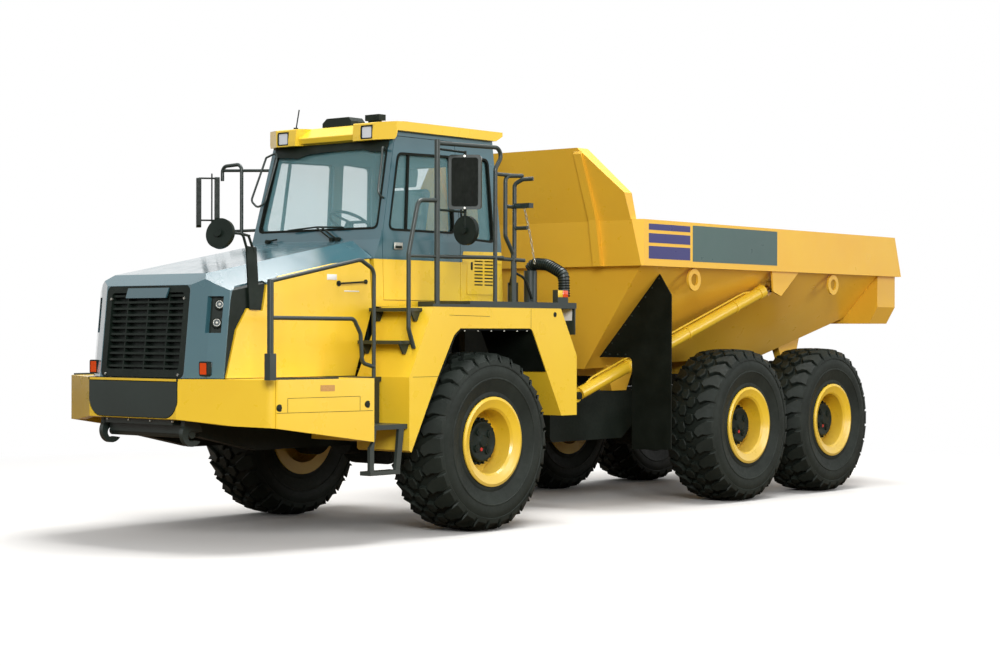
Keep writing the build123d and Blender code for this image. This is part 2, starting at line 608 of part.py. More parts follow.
def grille():
    """Leaning grille: a frame, slats and three upright bars."""
    gap = 4
    half, low, high = GRILLE_HALF_WIDTH - gap, GRILLE_BOTTOM + gap, GRILLE_TOP - gap
    face_x = NOSE_FRONT - NOSE_LEAN * (low - DECK_Z)
    height = high - low

    def slab(y_low, y_high, z_low, z_high, depth, set_back):
        """Upright block that follows the lean of the nose."""
        x = face_x - NOSE_LEAN * (z_low - low) - set_back
        return prism_xy([(x - depth, y_low), (x, y_low), (x, y_high), (x - depth, y_high)],
                        z_low, z_high, lean=-NOSE_LEAN)
    corners = [(-half, low, 46), (half, low, 46), (half, high, 46), (-half, high, 46)]
    window = [(-half + 62, low + 62, 30), (half - 62, low + 62, 30), (half - 62, high - 52, 30),
              (-half + 62, high - 52, 30)]
    zone = prism_yz(corners, ahead(2500), ahead(2900))
    rim = (slab(-half, half, low, high, 62, 0) & zone) - prism_yz(window, ahead(2500), ahead(2900))
    pieces = [rim, slab(-half, half, low, high, 12, 60) & zone]
    slats = 12
    pitch = (height - 114) / slats
    for i in range(slats):
        z = low + 62 + (i + 0.5) * pitch
        pieces.append(slab(40 - half, half - 40, z - 9, z + 9, 50, 12))
    for y in (-half / 2, 0, half / 2):
        pieces.append(slab(y - 7, y + 7, low + 40, high - 40, 50, 14))
    return joined(pieces)


HEADLAMPS = ((HOOD_HALF_WIDTH - 74, 1975), (HOOD_HALF_WIDTH - 83, 1828))     # y, z
LAMP_RADIUS = 32
LAMP_RECESS_Y = (HOOD_HALF_WIDTH - 152, HOOD_HALF_WIDTH - 40)
LAMP_RECESS_Z = (1745, 2040)
INDICATOR_Y = (HOOD_HALF_WIDTH - 165, HOOD_HALF_WIDTH - 82)
INDICATOR_Z = (1408, 1508)


def front_lamps():
    """Two headlamps and an indicator on each side of the nose."""
    depth = hood_outer(10) - hood_outer(SHELL_WALL)
    left = [rod((ahead(2480), y, z), (ahead(2760), y, z), LAMP_RADIUS) & depth for y, z in HEADLAMPS]
    (y_low, y_high), (z_low, z_high) = INDICATOR_Y, INDICATOR_Z
    left.append(box(ahead(2625), ahead(2702), y_low + 3, y_high - 3, z_low + 3, z_high - 3))
    return both(group(*left))


# ---- cab ---------------------------------------------------------------------------
def cab_solid(inset=0):
    """Outer form of the cab, or its inside with an inset."""
    profile = [(ahead(811) - inset, CAB_BOTTOM + inset), (ahead(846) - inset, CAB_WAIST),
               (ahead(766) - inset, 2565), (ahead(527) - inset, CAB_TOP - inset),
               (ahead(-817) + inset, CAB_TOP - inset), (ahead(-914) + inset, 2058),
               (ahead(-914) + inset, CAB_BOTTOM + inset)]
    half, roof = CAB_HALF_WIDTH - inset, CAB_ROOF_HALF_WIDTH - inset
    section = [(-half, CAB_BOTTOM - 10), (half, CAB_BOTTOM - 10), (half + 8, 2570), (roof, CAB_TOP + 1),
               (-roof, CAB_TOP + 1), (-half - 8, 2570)]
    return prism_xz(profile, -900, 900) & prism_yz(section, ahead(-1000), ahead(1000))


DOOR_OUTLINE = [(ahead(717), 2030), (ahead(735), CAB_WAIST), (ahead(745), 2580),
                (ahead(530), CAB_TOP - 42, 40), (ahead(-280), CAB_TOP - 42, 40), (ahead(-312), 2030)]
SIDE_WINDOW = [(ahead(650), 2655, 60), (ahead(490), 3330, 50), (ahead(-210), 3345, 40),
               (ahead(-210), 2655, 40)]
REAR_SIDE_WINDOW = [(ahead(-330), 2615, 40), (ahead(-330), 3365, 40), (ahead(-735), 3350, 50),
                    (ahead(-770), 2590, 50)]


def shrink(corners, gap):
    """Outline moved inwards by a gap, for panels that fit in an opening."""
    centre_u = sum(c[0] for c in corners) / len(corners)
    centre_v = sum(c[1] for c in corners) / len(corners)
    moved = []
    for u, v, *rest in corners:
        moved.append((u - gap if u > centre_u else u + gap, v - gap if v > centre_v else v + gap, *rest))
    return moved


SCREEN_FOOT, SCREEN_HEAD = CAB_HALF_WIDTH - 58, CAB_ROOF_HALF_WIDTH - 56      # half widths
WINDSCREEN = [(-SCREEN_FOOT, 2666, 50), (SCREEN_FOOT, 2666, 50), (SCREEN_HEAD, 3406, 50),
              (-SCREEN_HEAD, 3406, 50)]
REAR_FOOT, REAR_HEAD = CAB_HALF_WIDTH - 200, CAB_ROOF_HALF_WIDTH - 180
REAR_WINDOW = [(-REAR_FOOT, 2620, 60), (REAR_FOOT, 2620, 60), (REAR_HEAD, 3330, 60),
               (-REAR_HEAD, 3330, 60)]


def make_cab():
    """Hollow cab in its panels: lower cab, upper frame, roof, door and glass."""
    shell = cab_solid() - cab_solid(CAB_WALL)
    left = (CAB_HALF_WIDTH - 150, CAB_HALF_WIDTH + 60)
    inner, roof = CAB_HALF_WIDTH - CAB_WALL, CAB_ROOF_HALF_WIDTH - CAB_WALL
    side_slab = prism_yz([(inner, CAB_BOTTOM - 10), (inner + 8, 2570), (roof, CAB_TOP + 1),
                          (900, CAB_TOP + 1), (900, CAB_BOTTOM - 10)], ahead(-1000), ahead(1000))
    door_hole = prism_xz(DOOR_OUTLINE, *left) & side_slab
    door_zone = prism_xz(shrink(DOOR_OUTLINE, PANEL_GAP), *left) & side_slab
    side_hole = prism_xz(SIDE_WINDOW, *left)
    rear_side_hole = prism_xz(REAR_SIDE_WINDOW, *left)
    screen_hole = prism_yz(WINDSCREEN, ahead(400), ahead(900))
    rear_hole = prism_yz(REAR_WINDOW, ahead(-1000), ahead(-700))
    holes = [other_side(side_hole), rear_side_hole, other_side(rear_side_hole),
             screen_hole, rear_hole, door_hole]
    frame = shell
    for hole in holes:
        frame = frame - hole
    lower_zone = box(ahead(-1000), ahead(1000), -900, 900, CAB_BOTTOM - 20, CAB_WAIST)
    save("cab_base", frame & lower_zone)
    save("cab_frame", frame - lower_zone)
    door = (shell & door_zone) - side_hole
    save("door_panel", door & lower_zone)
    save("cab_door", door - lower_zone)
    # panes sit in the middle of the wall, a clearance away from their frames
    pane_gap = 2
    pane = cab_solid(CAB_WALL / 2 - 4) - cab_solid(CAB_WALL / 2 + 4)
    window = prism_xz(shrink(SIDE_WINDOW, pane_gap), *left)
    rear_side = prism_xz(shrink(REAR_SIDE_WINDOW, pane_gap), *left)
    screen = prism_yz(shrink(WINDSCREEN, pane_gap), ahead(400), ahead(900))
    rear = prism_yz(shrink(REAR_WINDOW, pane_gap), ahead(-1000), ahead(-700))
    panes = [pane & zone for zone in (other_side(window), rear_side, other_side(rear_side),
                                      screen, rear)]
    save("cab_glass", group(*panes))
    save("door_glass", pane & window)


ROOF_TOP = CAB_TOP + 88
VISOR_LOW = CAB_TOP - 80
POD_LAMP_Y = (CAB_HALF_WIDTH - 346, CAB_HALF_WIDTH - 200)
POD_LAMP_Z = (VISOR_LOW + 8, VISOR_LOW + 132)


def cab_roof():
    """Thin roof panel with its visor, a lamp pod at each front corner and the rear tail."""
    half = CAB_HALF_WIDTH
    middle = [(ahead(-909), CAB_TOP + 50), (ahead(-909), ROOF_TOP), (ahead(475), ROOF_TOP - 4, 30),
              (ahead(625), VISOR_LOW + 62, 10), (ahead(607), VISOR_LOW + 16, 8), (ahead(556), VISOR_LOW + 2),
              (ahead(535), CAB_TOP + 1), (ahead(-817), CAB_TOP + 1)]
    slab = prism_xz(middle, -half, half)
    pod_side = [(ahead(556), VISOR_LOW + 2), (ahead(660), VISOR_LOW - 2), (ahead(640), ROOF_TOP - 14, 16),
                (ahead(400), ROOF_TOP - 2), (ahead(400), CAB_TOP + 1), (ahead(535), CAB_TOP + 1)]
    pod_plan = [(ahead(400), half - 470), (ahead(556), half - 470), (ahead(655), half - 436),
                (ahead(652), half - 192), (ahead(548), half), (ahead(400), half)]
    pod = prism_xz(pod_side, 0, 900) & prism_xy(pod_plan, VISOR_LOW - 20, ROOF_TOP + 20)
    slab = slab & prism_xy([(ahead(-950), -half), (ahead(548), -half), (ahead(640), -half + 180),
                            (ahead(640), half - 180), (ahead(548), half), (ahead(-950), half)],
                           VISOR_LOW - 20, ROOF_TOP + 20)
    recess = box(ahead(622), ahead(700), *POD_LAMP_Y, *POD_LAMP_Z)
    return joined([slab, pod, other_side(pod)]) - recess - other_side(recess)


def roof_lamps():
    """Square work lamps in the visor's pods."""
    (y_low, y_high), (z_low, z_high) = POD_LAMP_Y, POD_LAMP_Z
    lamp = box(ahead(623), ahead(640), y_low + 10, y_high - 10, z_low + 10, z_high - 10)
    return both(lamp)


def roof_gear():
    """Dark box, small receiver and antenna on the roof."""
    top = ROOF_TOP + 1
    dark = prism_yz([(-235, top), (130, top), (130, top + 45), (95, top + 82), (-180, top + 82),
                     (-235, top + 40)], ahead(250), ahead(430))
    neck = box(ahead(400), ahead(450), 360, 480, top, top + 26)
    plate = box(ahead(380), ahead(470), 340, 510, top + 25, top + 78)
    mast = rod((ahead(450), -560, top), (ahead(420), -548, top + 190), 6)
    foot = rod((ahead(450), -560, top), (ahead(450), -560, top + 22), 22)
    return group(dark, joined([neck, plate]), joined([mast, foot]))


def driver_seat():
    """Seat on its pedestal, with back and headrest."""
    cushion = box(ahead(-420), ahead(90), -250, 250, 2420, 2540)
    back = prism_xz([(ahead(-420), 2500), (ahead(-300), 2500), (ahead(-420), 3090, 50),
                     (ahead(-530), 3090, 50)], -240, 240)
    head = prism_xz([(ahead(-440), 3110, 30), (ahead(-350), 3110, 30), (ahead(-380), 3290, 40),
                     (ahead(-470), 3290, 40)], -140, 140)
    stalks = rod((ahead(-460), 0, 3050), (ahead(-420), 0, 3180), 18)
    pedestal = box(ahead(-330), ahead(0), -170, 170, CAB_BOTTOM + CAB_WALL, 2430)
    return joined([cushion, back, stalks, head, pedestal])


def steering_console():
    """Dash, column and steering wheel."""
    dash = prism_xz([(ahead(700), CAB_BOTTOM + CAB_WALL), (ahead(700), 2560, 40), (ahead(560), 2640, 30),
                     (ahead(440), 2540, 30), (ahead(480), CAB_BOTTOM + CAB_WALL)], -620, 620)
    column = rod((ahead(470), 0, 2450), (ahead(310), 0, 2745), 38)
    hub = Vector(ahead(306), 0, 2752)
    tilt = Plane(origin=hub, z_dir=(-0.477, 0, 0.879))
    wheel = tilt * Torus(195, 14)
    spokes = [tilt * Rot(0, 0, angle) * Pos(98, 0, 0) * Box(196, 30, 12) for angle in (90, 210, 330)]
    return joined([dash, column, wheel] + spokes)


# ---- rails, mirrors and deck gear -------------------------------------------------------
def deck_rail():
    """Rail on the left side box, beside the hood."""
    y = DECK_RAIL_Y
    post_x, rear_x = ahead(2580), ahead(1400)
    upper = tube([(post_x + 20, y, 2150), (ahead(1560), y, 2350), (rear_x, y, 2270), (rear_x, y, DECK_Z)],
                 radius=RAIL_RADIUS, bend=80)
    lower = tube([(post_x, y, 1865), (ahead(1640), y, 1862), (ahead(1560), y, 1740), (ahead(1540), y, 1500),
                  (rear_x, y, 1465)], radius=RAIL_RADIUS, bend=60)
    post = rod((post_x, y, DECK_Z), (post_x, y, 2165), RAIL_RADIUS + 9)
    sleeve = box(post_x - 34, post_x + 34, y - 32, y + 32, DECK_Z, 1585)
    return joined([post, sleeve, upper, lower])


def side_guard():
    """Guard frame outside the left walkway, with the grab loop ahead of its front post."""
    post, rear_post = ahead(690), ahead(-85)
    bars = [rod((post, RAIL_Y, POST_FOOT_Z), (post, RAIL_Y, 3400), 24),
            tube([(post, RAIL_Y, 3370), (ahead(-230), RAIL_Y, 3390), (rear_post, RAIL_Y, 3200),
                  (rear_post, RAIL_Y, WALKWAY_Z)], bend=70),
            rod((post, RAIL_Y, 2400), (ahead(-190), RAIL_Y, 2415), RAIL_RADIUS),
            tube([(ahead(985), RAIL_Y, 1620), (ahead(1050), RAIL_Y, 1780), (ahead(1050), RAIL_Y, 2420),
                  (ahead(930), RAIL_Y, 2870), (post, RAIL_Y, 2880)], bend=70),
            rod((ahead(1050), RAIL_Y, 2395), (post, RAIL_Y, 2400), 12)]
    return joined(bars)


def rear_hoops():
    """Two bent grab rails behind the left door, tied by short bars."""
    y = RAIL_Y - 55
    first = tube([(ahead(-400), y, WALKWAY_Z), (ahead(-400), y, 2460), (ahead(-292), y, 2610),
                  (ahead(-292), y, 3150), (ahead(-530), y, 3165)], bend=60)
    stub = rod((ahead(-168), y, 3160), (ahead(-420), y, 3160), RAIL_RADIUS)
    second = tube([(ahead(-470), y - 40, WALKWAY_Z), (ahead(-470), y - 40, 3090), (ahead(-500), y + 30, 3130),
                   (ahead(-540), y + 120, 3135)], bend=50)
    ties = [rod((ahead(-194), y, 2408), (ahead(-560), y, 2402), RAIL_RADIUS),
            rod((ahead(-470), y - 40, 2690), (ahead(-470), y + 110, 2690), RAIL_RADIUS),
            rod((ahead(-292), y, 2880), (ahead(-470), y - 40, 2880), RAIL_RADIUS)]
    block = box(ahead(-505), ahead(-445), y - 30, y + 150, 2868, 2912)
    return joined([first, second, stub, block] + ties)


def far_bracket():
    """Mirror bracket off the cab's right front corner."""
    x, y, start = ahead(720), -1000, CAB_HALF_WIDTH - 26
    post = tube([(x, y, 2650), (x, y, 3310), (x, y - 262, 3300), (x, y - 262, 3165)],
                radius=RAIL_RADIUS, bend=60)
    upper = rod((ahead(575), -start, 3248), (x, y - 262, 3262), RAIL_RADIUS - 3)
    lower = rod((ahead(700), -start - 29, 2690), (x, y - 190, 2690), RAIL_RADIUS - 3)
    return joined([post, upper, lower])


def handrails():
    """Rails beside the hood, along the walkways and behind the cab, and the far mirror bracket."""
    return group(deck_rail(), side_guard(), rear_hoops(), far_bracket())


def mirror_head(x, y, z, size, turn, radius=30):
    """Flat mirror housing with rounded corners, turned about its upright axis."""
    depth, width, height = size
    face = [(-width / 2, -height / 2, radius), (width / 2, -height / 2, radius),
            (width / 2, height / 2, radius), (-width / 2, height / 2, radius)]
    return Pos(x, y, z) * Rot(0, 0, turn) * prism_yz(face, -depth / 2, depth / 2)


def side_mirrors():
    """Flat and round mirrors on a stalk beside the left guard frame."""
    x, y = ahead(278), RAIL_Y - 40
    post = ahead(690) - 26
    flat_head = mirror_head(x, y, 3060, (60, 290, 470), 35)
    dish = rod((x + 8, y + 2, 2640), (x - 36, y + 2, 2640), 128)
    hub = rod((x + 30, y + 2, 2640), (x, y + 2, 2640), 30)
    stem = rod((x, y, 2660), (x, y, 3332), 13)
    arms = [rod((x, y, z), (post, RAIL_Y, z), 10) for z in (3320, 2800)]
    return joined([flat_head, dish, hub, stem] + arms)


def far_mirrors():
    """Two flat mirrors on the right bracket."""
    turn, y = -40, -1420.3
    first = mirror_head(ahead(790), -1260, 2994, (45, 150, 400), turn, 20)
    second = mirror_head(ahead(874), y, 2960, (45, 160, 460), turn, 20)
    arms = [rod((ahead(735), -1287, z), (ahead(874), y, z), 8) for z in (3190, 2796)]
    clamp = rod((ahead(786), -1336, 2745), (ahead(786), -1336, 3235), 7)
    return joined([first, second, clamp] + arms)


def nose_mirror():
    """Round mirror over the nose on a flat tapered bracket."""
    y = HOOD_HALF_WIDTH + 1
    bracket = prism_xz([(ahead(2330), 1935, 20), (ahead(2215), 1930, 20), (ahead(2255), 2440, 10),
                        (ahead(2365), 2450, 10)], y, y + 16)
    tubes = [tube([(ahead(2345), y + 8, 2400), (ahead(2400), y + 8, 2545), (ahead(2530), 734, 2556)],
                  radius=11, bend=40),
             rod((ahead(2275), y + 8, 2400), (ahead(2335), y + 8, 2530), 11),
             rod((ahead(2325), y + 8, 2530), (ahead(2400), y + 2, 2545), 11)]
    aim = Vector(-0.9, -0.25, -0.2).normalized()
    centre = Vector(ahead(2575), 730, 2548)
    dish = rod(tuple(centre), tuple(centre + aim * 42), 124)
    hub = rod(tuple(centre - aim * 25), tuple(centre + aim * 10), 34)
    return joined([bracket, dish, hub] + tubes)


def mirrors():
    """Side mirrors on the guard frames and the round mirror over the nose."""
    return group(side_mirrors(), far_mirrors(), nose_mirror())


def deck_gear():
    """Canisters, arched duct, marker lamp block and battery box behind the cab."""
    x = ahead(-1150)
    drum = rod((x, 945, WALKWAY_Z), (x, 945, 2330), 62)
    cap = rod((x, 945, 2325), (x, 945, 2365), 34)
    duct = tube([(x, 945, 2350), (x, 985, 2395), (x, 1150, 2385), (x, 1340, 2290), (x, 1345, WALKWAY_Z + 60)],
                radius=50, bend=55)
    small = rod((x + 60, 780, WALKWAY_Z), (x + 60, 780, 2220), 50)
    block = box(ahead(-1140), ahead(-985), RAIL_Y - 60, RAIL_Y, WALKWAY_Z + 1, WALKWAY_Z + 118)
    battery = box(ahead(-1180), ahead(-960), -760, -300, WALKWAY_Z, 2330)
    return group(joined([drum, cap, duct]), small, block, battery)


# ---- rear frame ---------------------------------------------------------------------------
def rear_chassis():
    """Rear frame: collar on the hitch tube, gooseneck, rails and the body hinge."""
    front = REAR_FRAME_FRONT
    rear = TIP_HINGE_X - 150
    inner = REAR_RAIL_Y - REAR_RAIL_WIDTH / 2
    outer = REAR_RAIL_Y + REAR_RAIL_WIDTH / 2
    side = [(front, GOOSENECK_BOTTOM, 60), (front, REAR_RAIL_TOP, 60), (rear, REAR_RAIL_TOP),
            (rear, REAR_RAIL_BOTTOM), (front - 1550, REAR_RAIL_BOTTOM), (front - 1200, GOOSENECK_BOTTOM)]
    rail = prism_xz(side, inner, outer)
    pieces = [rail, other_side(rail)]
    pieces.append(box(front - 200, front - 80, -inner - 5, inner + 5,
                      GOOSENECK_BOTTOM + 20, REAR_RAIL_TOP - 10))
    pieces.append(rod((PIVOT_X - 250, 0, HITCH_Z), (PIVOT_X - 700, 0, HITCH_Z), 270))
    for x in (front - 1350, MID_AXLE_X - BOGIE_SPREAD / 2, rear + 60):
        pieces.append(box(x - 60, x + 60, -inner - 5, inner + 5, REAR_RAIL_BOTTOM + 20, REAR_RAIL_TOP - 10))
    for sign in (1, -1):
        low, high = sorted((sign * inner, sign * outer))
        pieces.append(box(TIP_HINGE_X - 95, TIP_HINGE_X + 95, low, high, REAR_RAIL_TOP - 20, TIP_HINGE_Z))
        pieces.append(rod((TIP_HINGE_X, low, TIP_HINGE_Z), (TIP_HINGE_X, high, TIP_HINGE_Z), 95))
    pieces.append(rod((TIP_HINGE_X, -580, TIP_HINGE_Z), (TIP_HINGE_X, 580, TIP_HINGE_Z), TIP_PIN_RADIUS))
    frame = joined(pieces)
    return frame - rod((PIVOT_X - 240, 0, HITCH_Z), (PIVOT_X - 800, 0, HITCH_Z),
                       HITCH_TUBE_RADIUS + BEARING_GAP)


def hoist_mounts():
    """Brackets on the rear frame that hold the lower ends of the hoist cylinders."""
    x, y, z = HOIST_LOWER
    outer = REAR_RAIL_Y + REAR_RAIL_WIDTH / 2
    arm = box(x - 90, x + 60, outer - 5, y - 62, z - 70, z + 20)
    pin = rod((x, y - 90, z), (x, y + 54, z), HOIST_PIN_RADIUS)
    collar = rod((x, y + 42, z), (x, y + 54, z), HOIST_PIN_RADIUS + 6)
    block = joined([arm, pin, collar])
    return block


def bogie():
    """Middle and rear axles with the walking beams that join them."""
    centre = MID_AXLE_X - BOGIE_SPREAD / 2
    pieces = [axle(MID_AXLE_X), axle(REAR_AXLE_X)]
    for side in (1, -1):
        low, high = sorted((side * 560, side * 660))
        beam = prism_xz([(MID_AXLE_X + 130, AXLE_Z - 80, 60), (MID_AXLE_X + 130, AXLE_Z + 90, 60),
                         (centre, AXLE_Z + 170, 60), (REAR_AXLE_X - 130, AXLE_Z + 90, 60),
                         (REAR_AXLE_X - 130, AXLE_Z - 80, 60), (centre, AXLE_Z - 130, 60)], low, high)
        pieces.append(beam)
        start, end = sorted((side * 471, side * 700))
        pieces.append(rod((centre, start, AXLE_Z + 90), (centre, end, AXLE_Z + 90), 70))
    return joined(pieces)


# ---- dump body --------------------------------------------------------------------------------
def body_side_y(z, inset=0):
    """Half width of the sloping side at a height."""
    return SIDE_FOOT_Y + SIDE_SLOPE * (z - FLOOR_FRONT_Z) - inset


def dump_body():
    """Hollow body: front wall with its guard, sloping sides, rails and tail."""
    front = BODY_FRONT
    ramp = REAR_AXLE_X + 50
    tail_rise = REAR_AXLE_X - 1145
    wall_y = SIDE_Y - 90
    side_view = [
        (front + 300, GUARD_TOP), (front, RAIL_TOP - 10), (front - 70, RAIL_BOTTOM),
        (front - 150, RAIL_BOTTOM), (front - 440, FLOOR_FRONT_Z), (ramp, FLOOR_REAR_Z),
        (tail_rise, TAIL_Z), (BODY_TAIL + 20, TAIL_Z), (BODY_TAIL, RAIL_BOTTOM),
        (BODY_TAIL + 150, RAIL_TOP), (front - 90, RAIL_TOP), (front + 125, GUARD_TOP)]
    half = [(SIDE_FOOT_Y, FLOOR_FRONT_Z), (body_side_y(RAIL_BOTTOM), RAIL_BOTTOM), (SIDE_Y, RAIL_BOTTOM),
            (SIDE_Y, RAIL_TOP), (wall_y, RAIL_TOP), (wall_y, GUARD_SHOULDER), (GUARD_HALF_WIDTH, GUARD_TOP)]
    front_view = half + [(-y, z) for y, z in reversed(half)]
    plan_half = [(BODY_TAIL, SIDE_Y), (front - 90, SIDE_Y), (front + 10, wall_y), (front + 400, wall_y)]
    plan = plan_half + [(x, -y) for x, y in reversed(plan_half)]
    outer = (prism_xz(side_view, -1500, 1500) & prism_yz(front_view, BODY_TAIL - 10, front + 400)
             & prism_xy(plan, 1300, 3600))
    inner_floor = body_side_y(FLOOR_FRONT_Z) - PLATE * sqrt(1 + SIDE_SLOPE ** 2)
    rail_inner = SIDE_Y - RAIL_WIDTH
    meet = FLOOR_FRONT_Z + (rail_inner - inner_floor) / SIDE_SLOPE
    inner_half = [(inner_floor, FLOOR_FRONT_Z), (rail_inner, meet),
                  (rail_inner, GUARD_SHOULDER - 30), (GUARD_HALF_WIDTH - 40, GUARD_TOP - PLATE)]
    inner_view = inner_half + [(-y, z) for y, z in reversed(inner_half)]
    inner_side = [
        (front + 215, GUARD_TOP - PLATE), (front - 80, RAIL_TOP - 10), (front - 225, RAIL_BOTTOM),
        (front - 520, FLOOR_FRONT_Z + FLOOR_PLATE), (ramp, FLOOR_REAR_Z + FLOOR_PLATE),
        (tail_rise, TAIL_Z + FLOOR_PLATE), (BODY_TAIL - 100, TAIL_Z + FLOOR_PLATE + 40),
        (BODY_TAIL - 100, GUARD_TOP - PLATE)]
    space = (prism_xz(inner_side, -1500, 1500) & prism_yz(inner_view, BODY_TAIL - 100, front + 400))
    tail_half = [(1270, TAIL_Z - 80), (wall_y + 20, TAIL_Z + 110), (wall_y + 20, RAIL_BOTTOM + 5)]
    tail_view = tail_half + [(-y, z) for y, z in reversed(tail_half)]
    tail = prism_yz(tail_view, BODY_TAIL + 20, BODY_TAIL + 430)
    whole = outer + tail
    whole = whole - space
    pieces = [whole]
    # ribs on the front wall follow its two slopes
    for y in (-GUARD_HALF_WIDTH, GUARD_HALF_WIDTH):
        rib = prism_xz([(front + 290, GUARD_TOP - 30), (front + 300, GUARD_TOP - 60), (front + 55, RAIL_TOP),
                        (front - 20, RAIL_BOTTOM), (front - 90, RAIL_BOTTOM), (front - 20, RAIL_TOP)],
                       y - 45, y + 45)
        pieces.append(rib)
    # stiffeners under the floor, feet on the frame and hinge lugs
    for i in range(4):
        x = front - 900 - i * 750
        pieces.append(box(x - 50, x + 50, -430, 430, 1300, 1460))
    for side in (1, -1):
        low, high = sorted((side * (REAR_RAIL_Y - 60), side * (REAR_RAIL_Y + 90)))
        foot_x = front - 770
        pieces.append(prism_xz([(foot_x, FLOOR_FRONT_Z + 40), (foot_x - 100, REAR_RAIL_TOP + 3),
                                (foot_x - 350, REAR_RAIL_TOP + 3), (foot_x - 500, FLOOR_FRONT_Z + 50)],
                               low, high))
        low, high = sorted((side * 480, side * 570))
        x, z = TIP_HINGE_X, TIP_HINGE_Z
        lug = prism_xz([(x + 260, 1660), (x - 300, 1860), (x - 90, z - 40, 40), (x - 60, z - 90, 60),
                        (x + 60, z - 90, 60), (x + 100, z + 40, 40)], low, high)
        pieces.append(lug)
    pieces += [hoist_bracket(), other_side(hoist_bracket())]
    for x in (FRONT_AXLE_X - 3210, FRONT_AXLE_X - 5940):
        eye = ring((x, EYE_Y - 12, EYE_Z), (x, EYE_Y + 12, EYE_Z), 110, EYE_RADIUS)
        pieces += [eye, other_side(eye)]
    bore = rod((TIP_HINGE_X, -600, TIP_HINGE_Z), (TIP_HINGE_X, 600, TIP_HINGE_Z),
               TIP_PIN_RADIUS + BEARING_GAP)
    return joined(pieces) - bore


def hoist_bracket():
    """Left bracket under the rail: two cheeks either side of the rod's eye."""
    x, y, z = HOIST_UPPER
    cheek = [(x + 110, RAIL_BOTTOM + 10), (x + 85, z - 60, 30), (x - 70, z - 105, 30),
             (x - 440, RAIL_BOTTOM + 10)]
    outer = prism_xz(cheek, y + 64, y + 84)
    inner = prism_xz(cheek, y - 95, y - 70)
    return outer + inner


def mud_flaps():
    """Rubber flaps ahead of the middle wheels, hung from the sloping sides."""
    gap = 3
    flap = [(body_side_y(1500) + gap, 1500), (975, 1500, 40), (975, 580), (SIDE_Y, 600),
            (SIDE_Y, 2120), (body_side_y(2330) + gap, 2330)]
    sheet = prism_yz(flap, FLAP_X, FLAP_X + FLAP_THICKNESS)
    return both(sheet)


# ---- cylinders ------------------------------------------------------------------------------------
def cylinder(foot, head, barrel_radius, rod_radius, eye_radius, eye_width, eye_axis, barrel_share,
             piston_at):
    """Barrel and rod of a double-acting cylinder between two pins, at rest."""
    first, last = Vector(*foot), Vector(*head)
    line = last - first
    length = line.length
    along = line.normalized()
    axis = Vector(*eye_axis)
    bore = barrel_radius - 12
    mouth = length * barrel_share

    def point(distance):
        return tuple(first + along * distance)

    def eye(centre):
        return rod(tuple(centre - axis * (eye_width / 2)), tuple(centre + axis * (eye_width / 2)), eye_radius)
    cap = rod(point(eye_radius * 0.9), point(eye_radius + 70), barrel_radius)
    shell = ring(point(eye_radius + 60), point(mouth), barrel_radius, bore)
    gland = ring(point(mouth - 70), point(mouth + 10), barrel_radius + 9, rod_radius + 1)
    barrel = joined([eye(first), cap, shell, gland])
    stem = rod(point(piston_at), point(length - eye_radius * 0.6), rod_radius)
    piston = rod(point(piston_at), point(piston_at + 50), bore - 1)
    plunger = joined([stem, piston, eye(last)])
    return barrel, plunger


def make_cylinders():
    """Two hoist cylinders and two steering cylinders."""
    barrel, plunger = cylinder(HOIST_LOWER, HOIST_UPPER, HOIST_BARREL_RADIUS, HOIST_ROD_RADIUS,
                               HOIST_EYE_RADIUS, HOIST_EYE_WIDTH, (0, 1, 0), 0.95, 185)
    x, y, z = HOIST_LOWER
    barrel = barrel - rod((x, y - 95, z), (x, y + 60, z), HOIST_PIN_RADIUS + 5)
    save("hoist_barrel_left", barrel)
    save("hoist_barrel_right", other_side(barrel))
    save("hoist_rod_left", plunger)
    save("hoist_rod_right", other_side(plunger))
    barrel, plunger = cylinder(STEER_FRONT, STEER_REAR, STEER_BARREL_RADIUS, STEER_ROD_RADIUS,
                               STEER_EYE_RADIUS, 60, (0, 0, 1), 0.7, 330)
    x, y, z = STEER_FRONT
    barrel = barrel - rod((x, y, z - 60), (x, y, z + 60), 25)
    save("steer_barrel_left", barrel)
    save("steer_barrel_right", other_side(barrel))
    save("steer_rod_left", plunger)
    save("steer_rod_right", other_side(plunger))


# ---- everything --------------------------------------------------------------------------------------
make_wheels()
save("front_chassis", front_chassis())
save("front_axle", front_axle())
save("engine_block", engine_block())
save("hitch", hitch())
make_deck()
make_fenders()
save("access_steps", access_steps())
save("walkway", walkway())
make_hood()
save("front_lamps", front_lamps())
make_cab()
save("cab_roof", cab_roof())
save("roof_lamps", roof_lamps())
save("roof_gear", roof_gear())
save("driver_seat", driver_seat())
save("steering_console", steering_console())
save("handrails", handrails())
save("mirrors", mirrors())
save("deck_gear", deck_gear())
save("rear_chassis", joined([rear_chassis(), hoist_mounts(), other_side(hoist_mounts())]))
save("bogie", bogie())
save("dump_body", dump_body())
save("mud_flaps", mud_flaps())
make_cylinders()
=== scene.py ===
"""Articulated dump truck: finish, detail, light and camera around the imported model."""
import json
from math import cos, pi, radians, sin

import bmesh
import bpy
from mathutils import Matrix, Vector


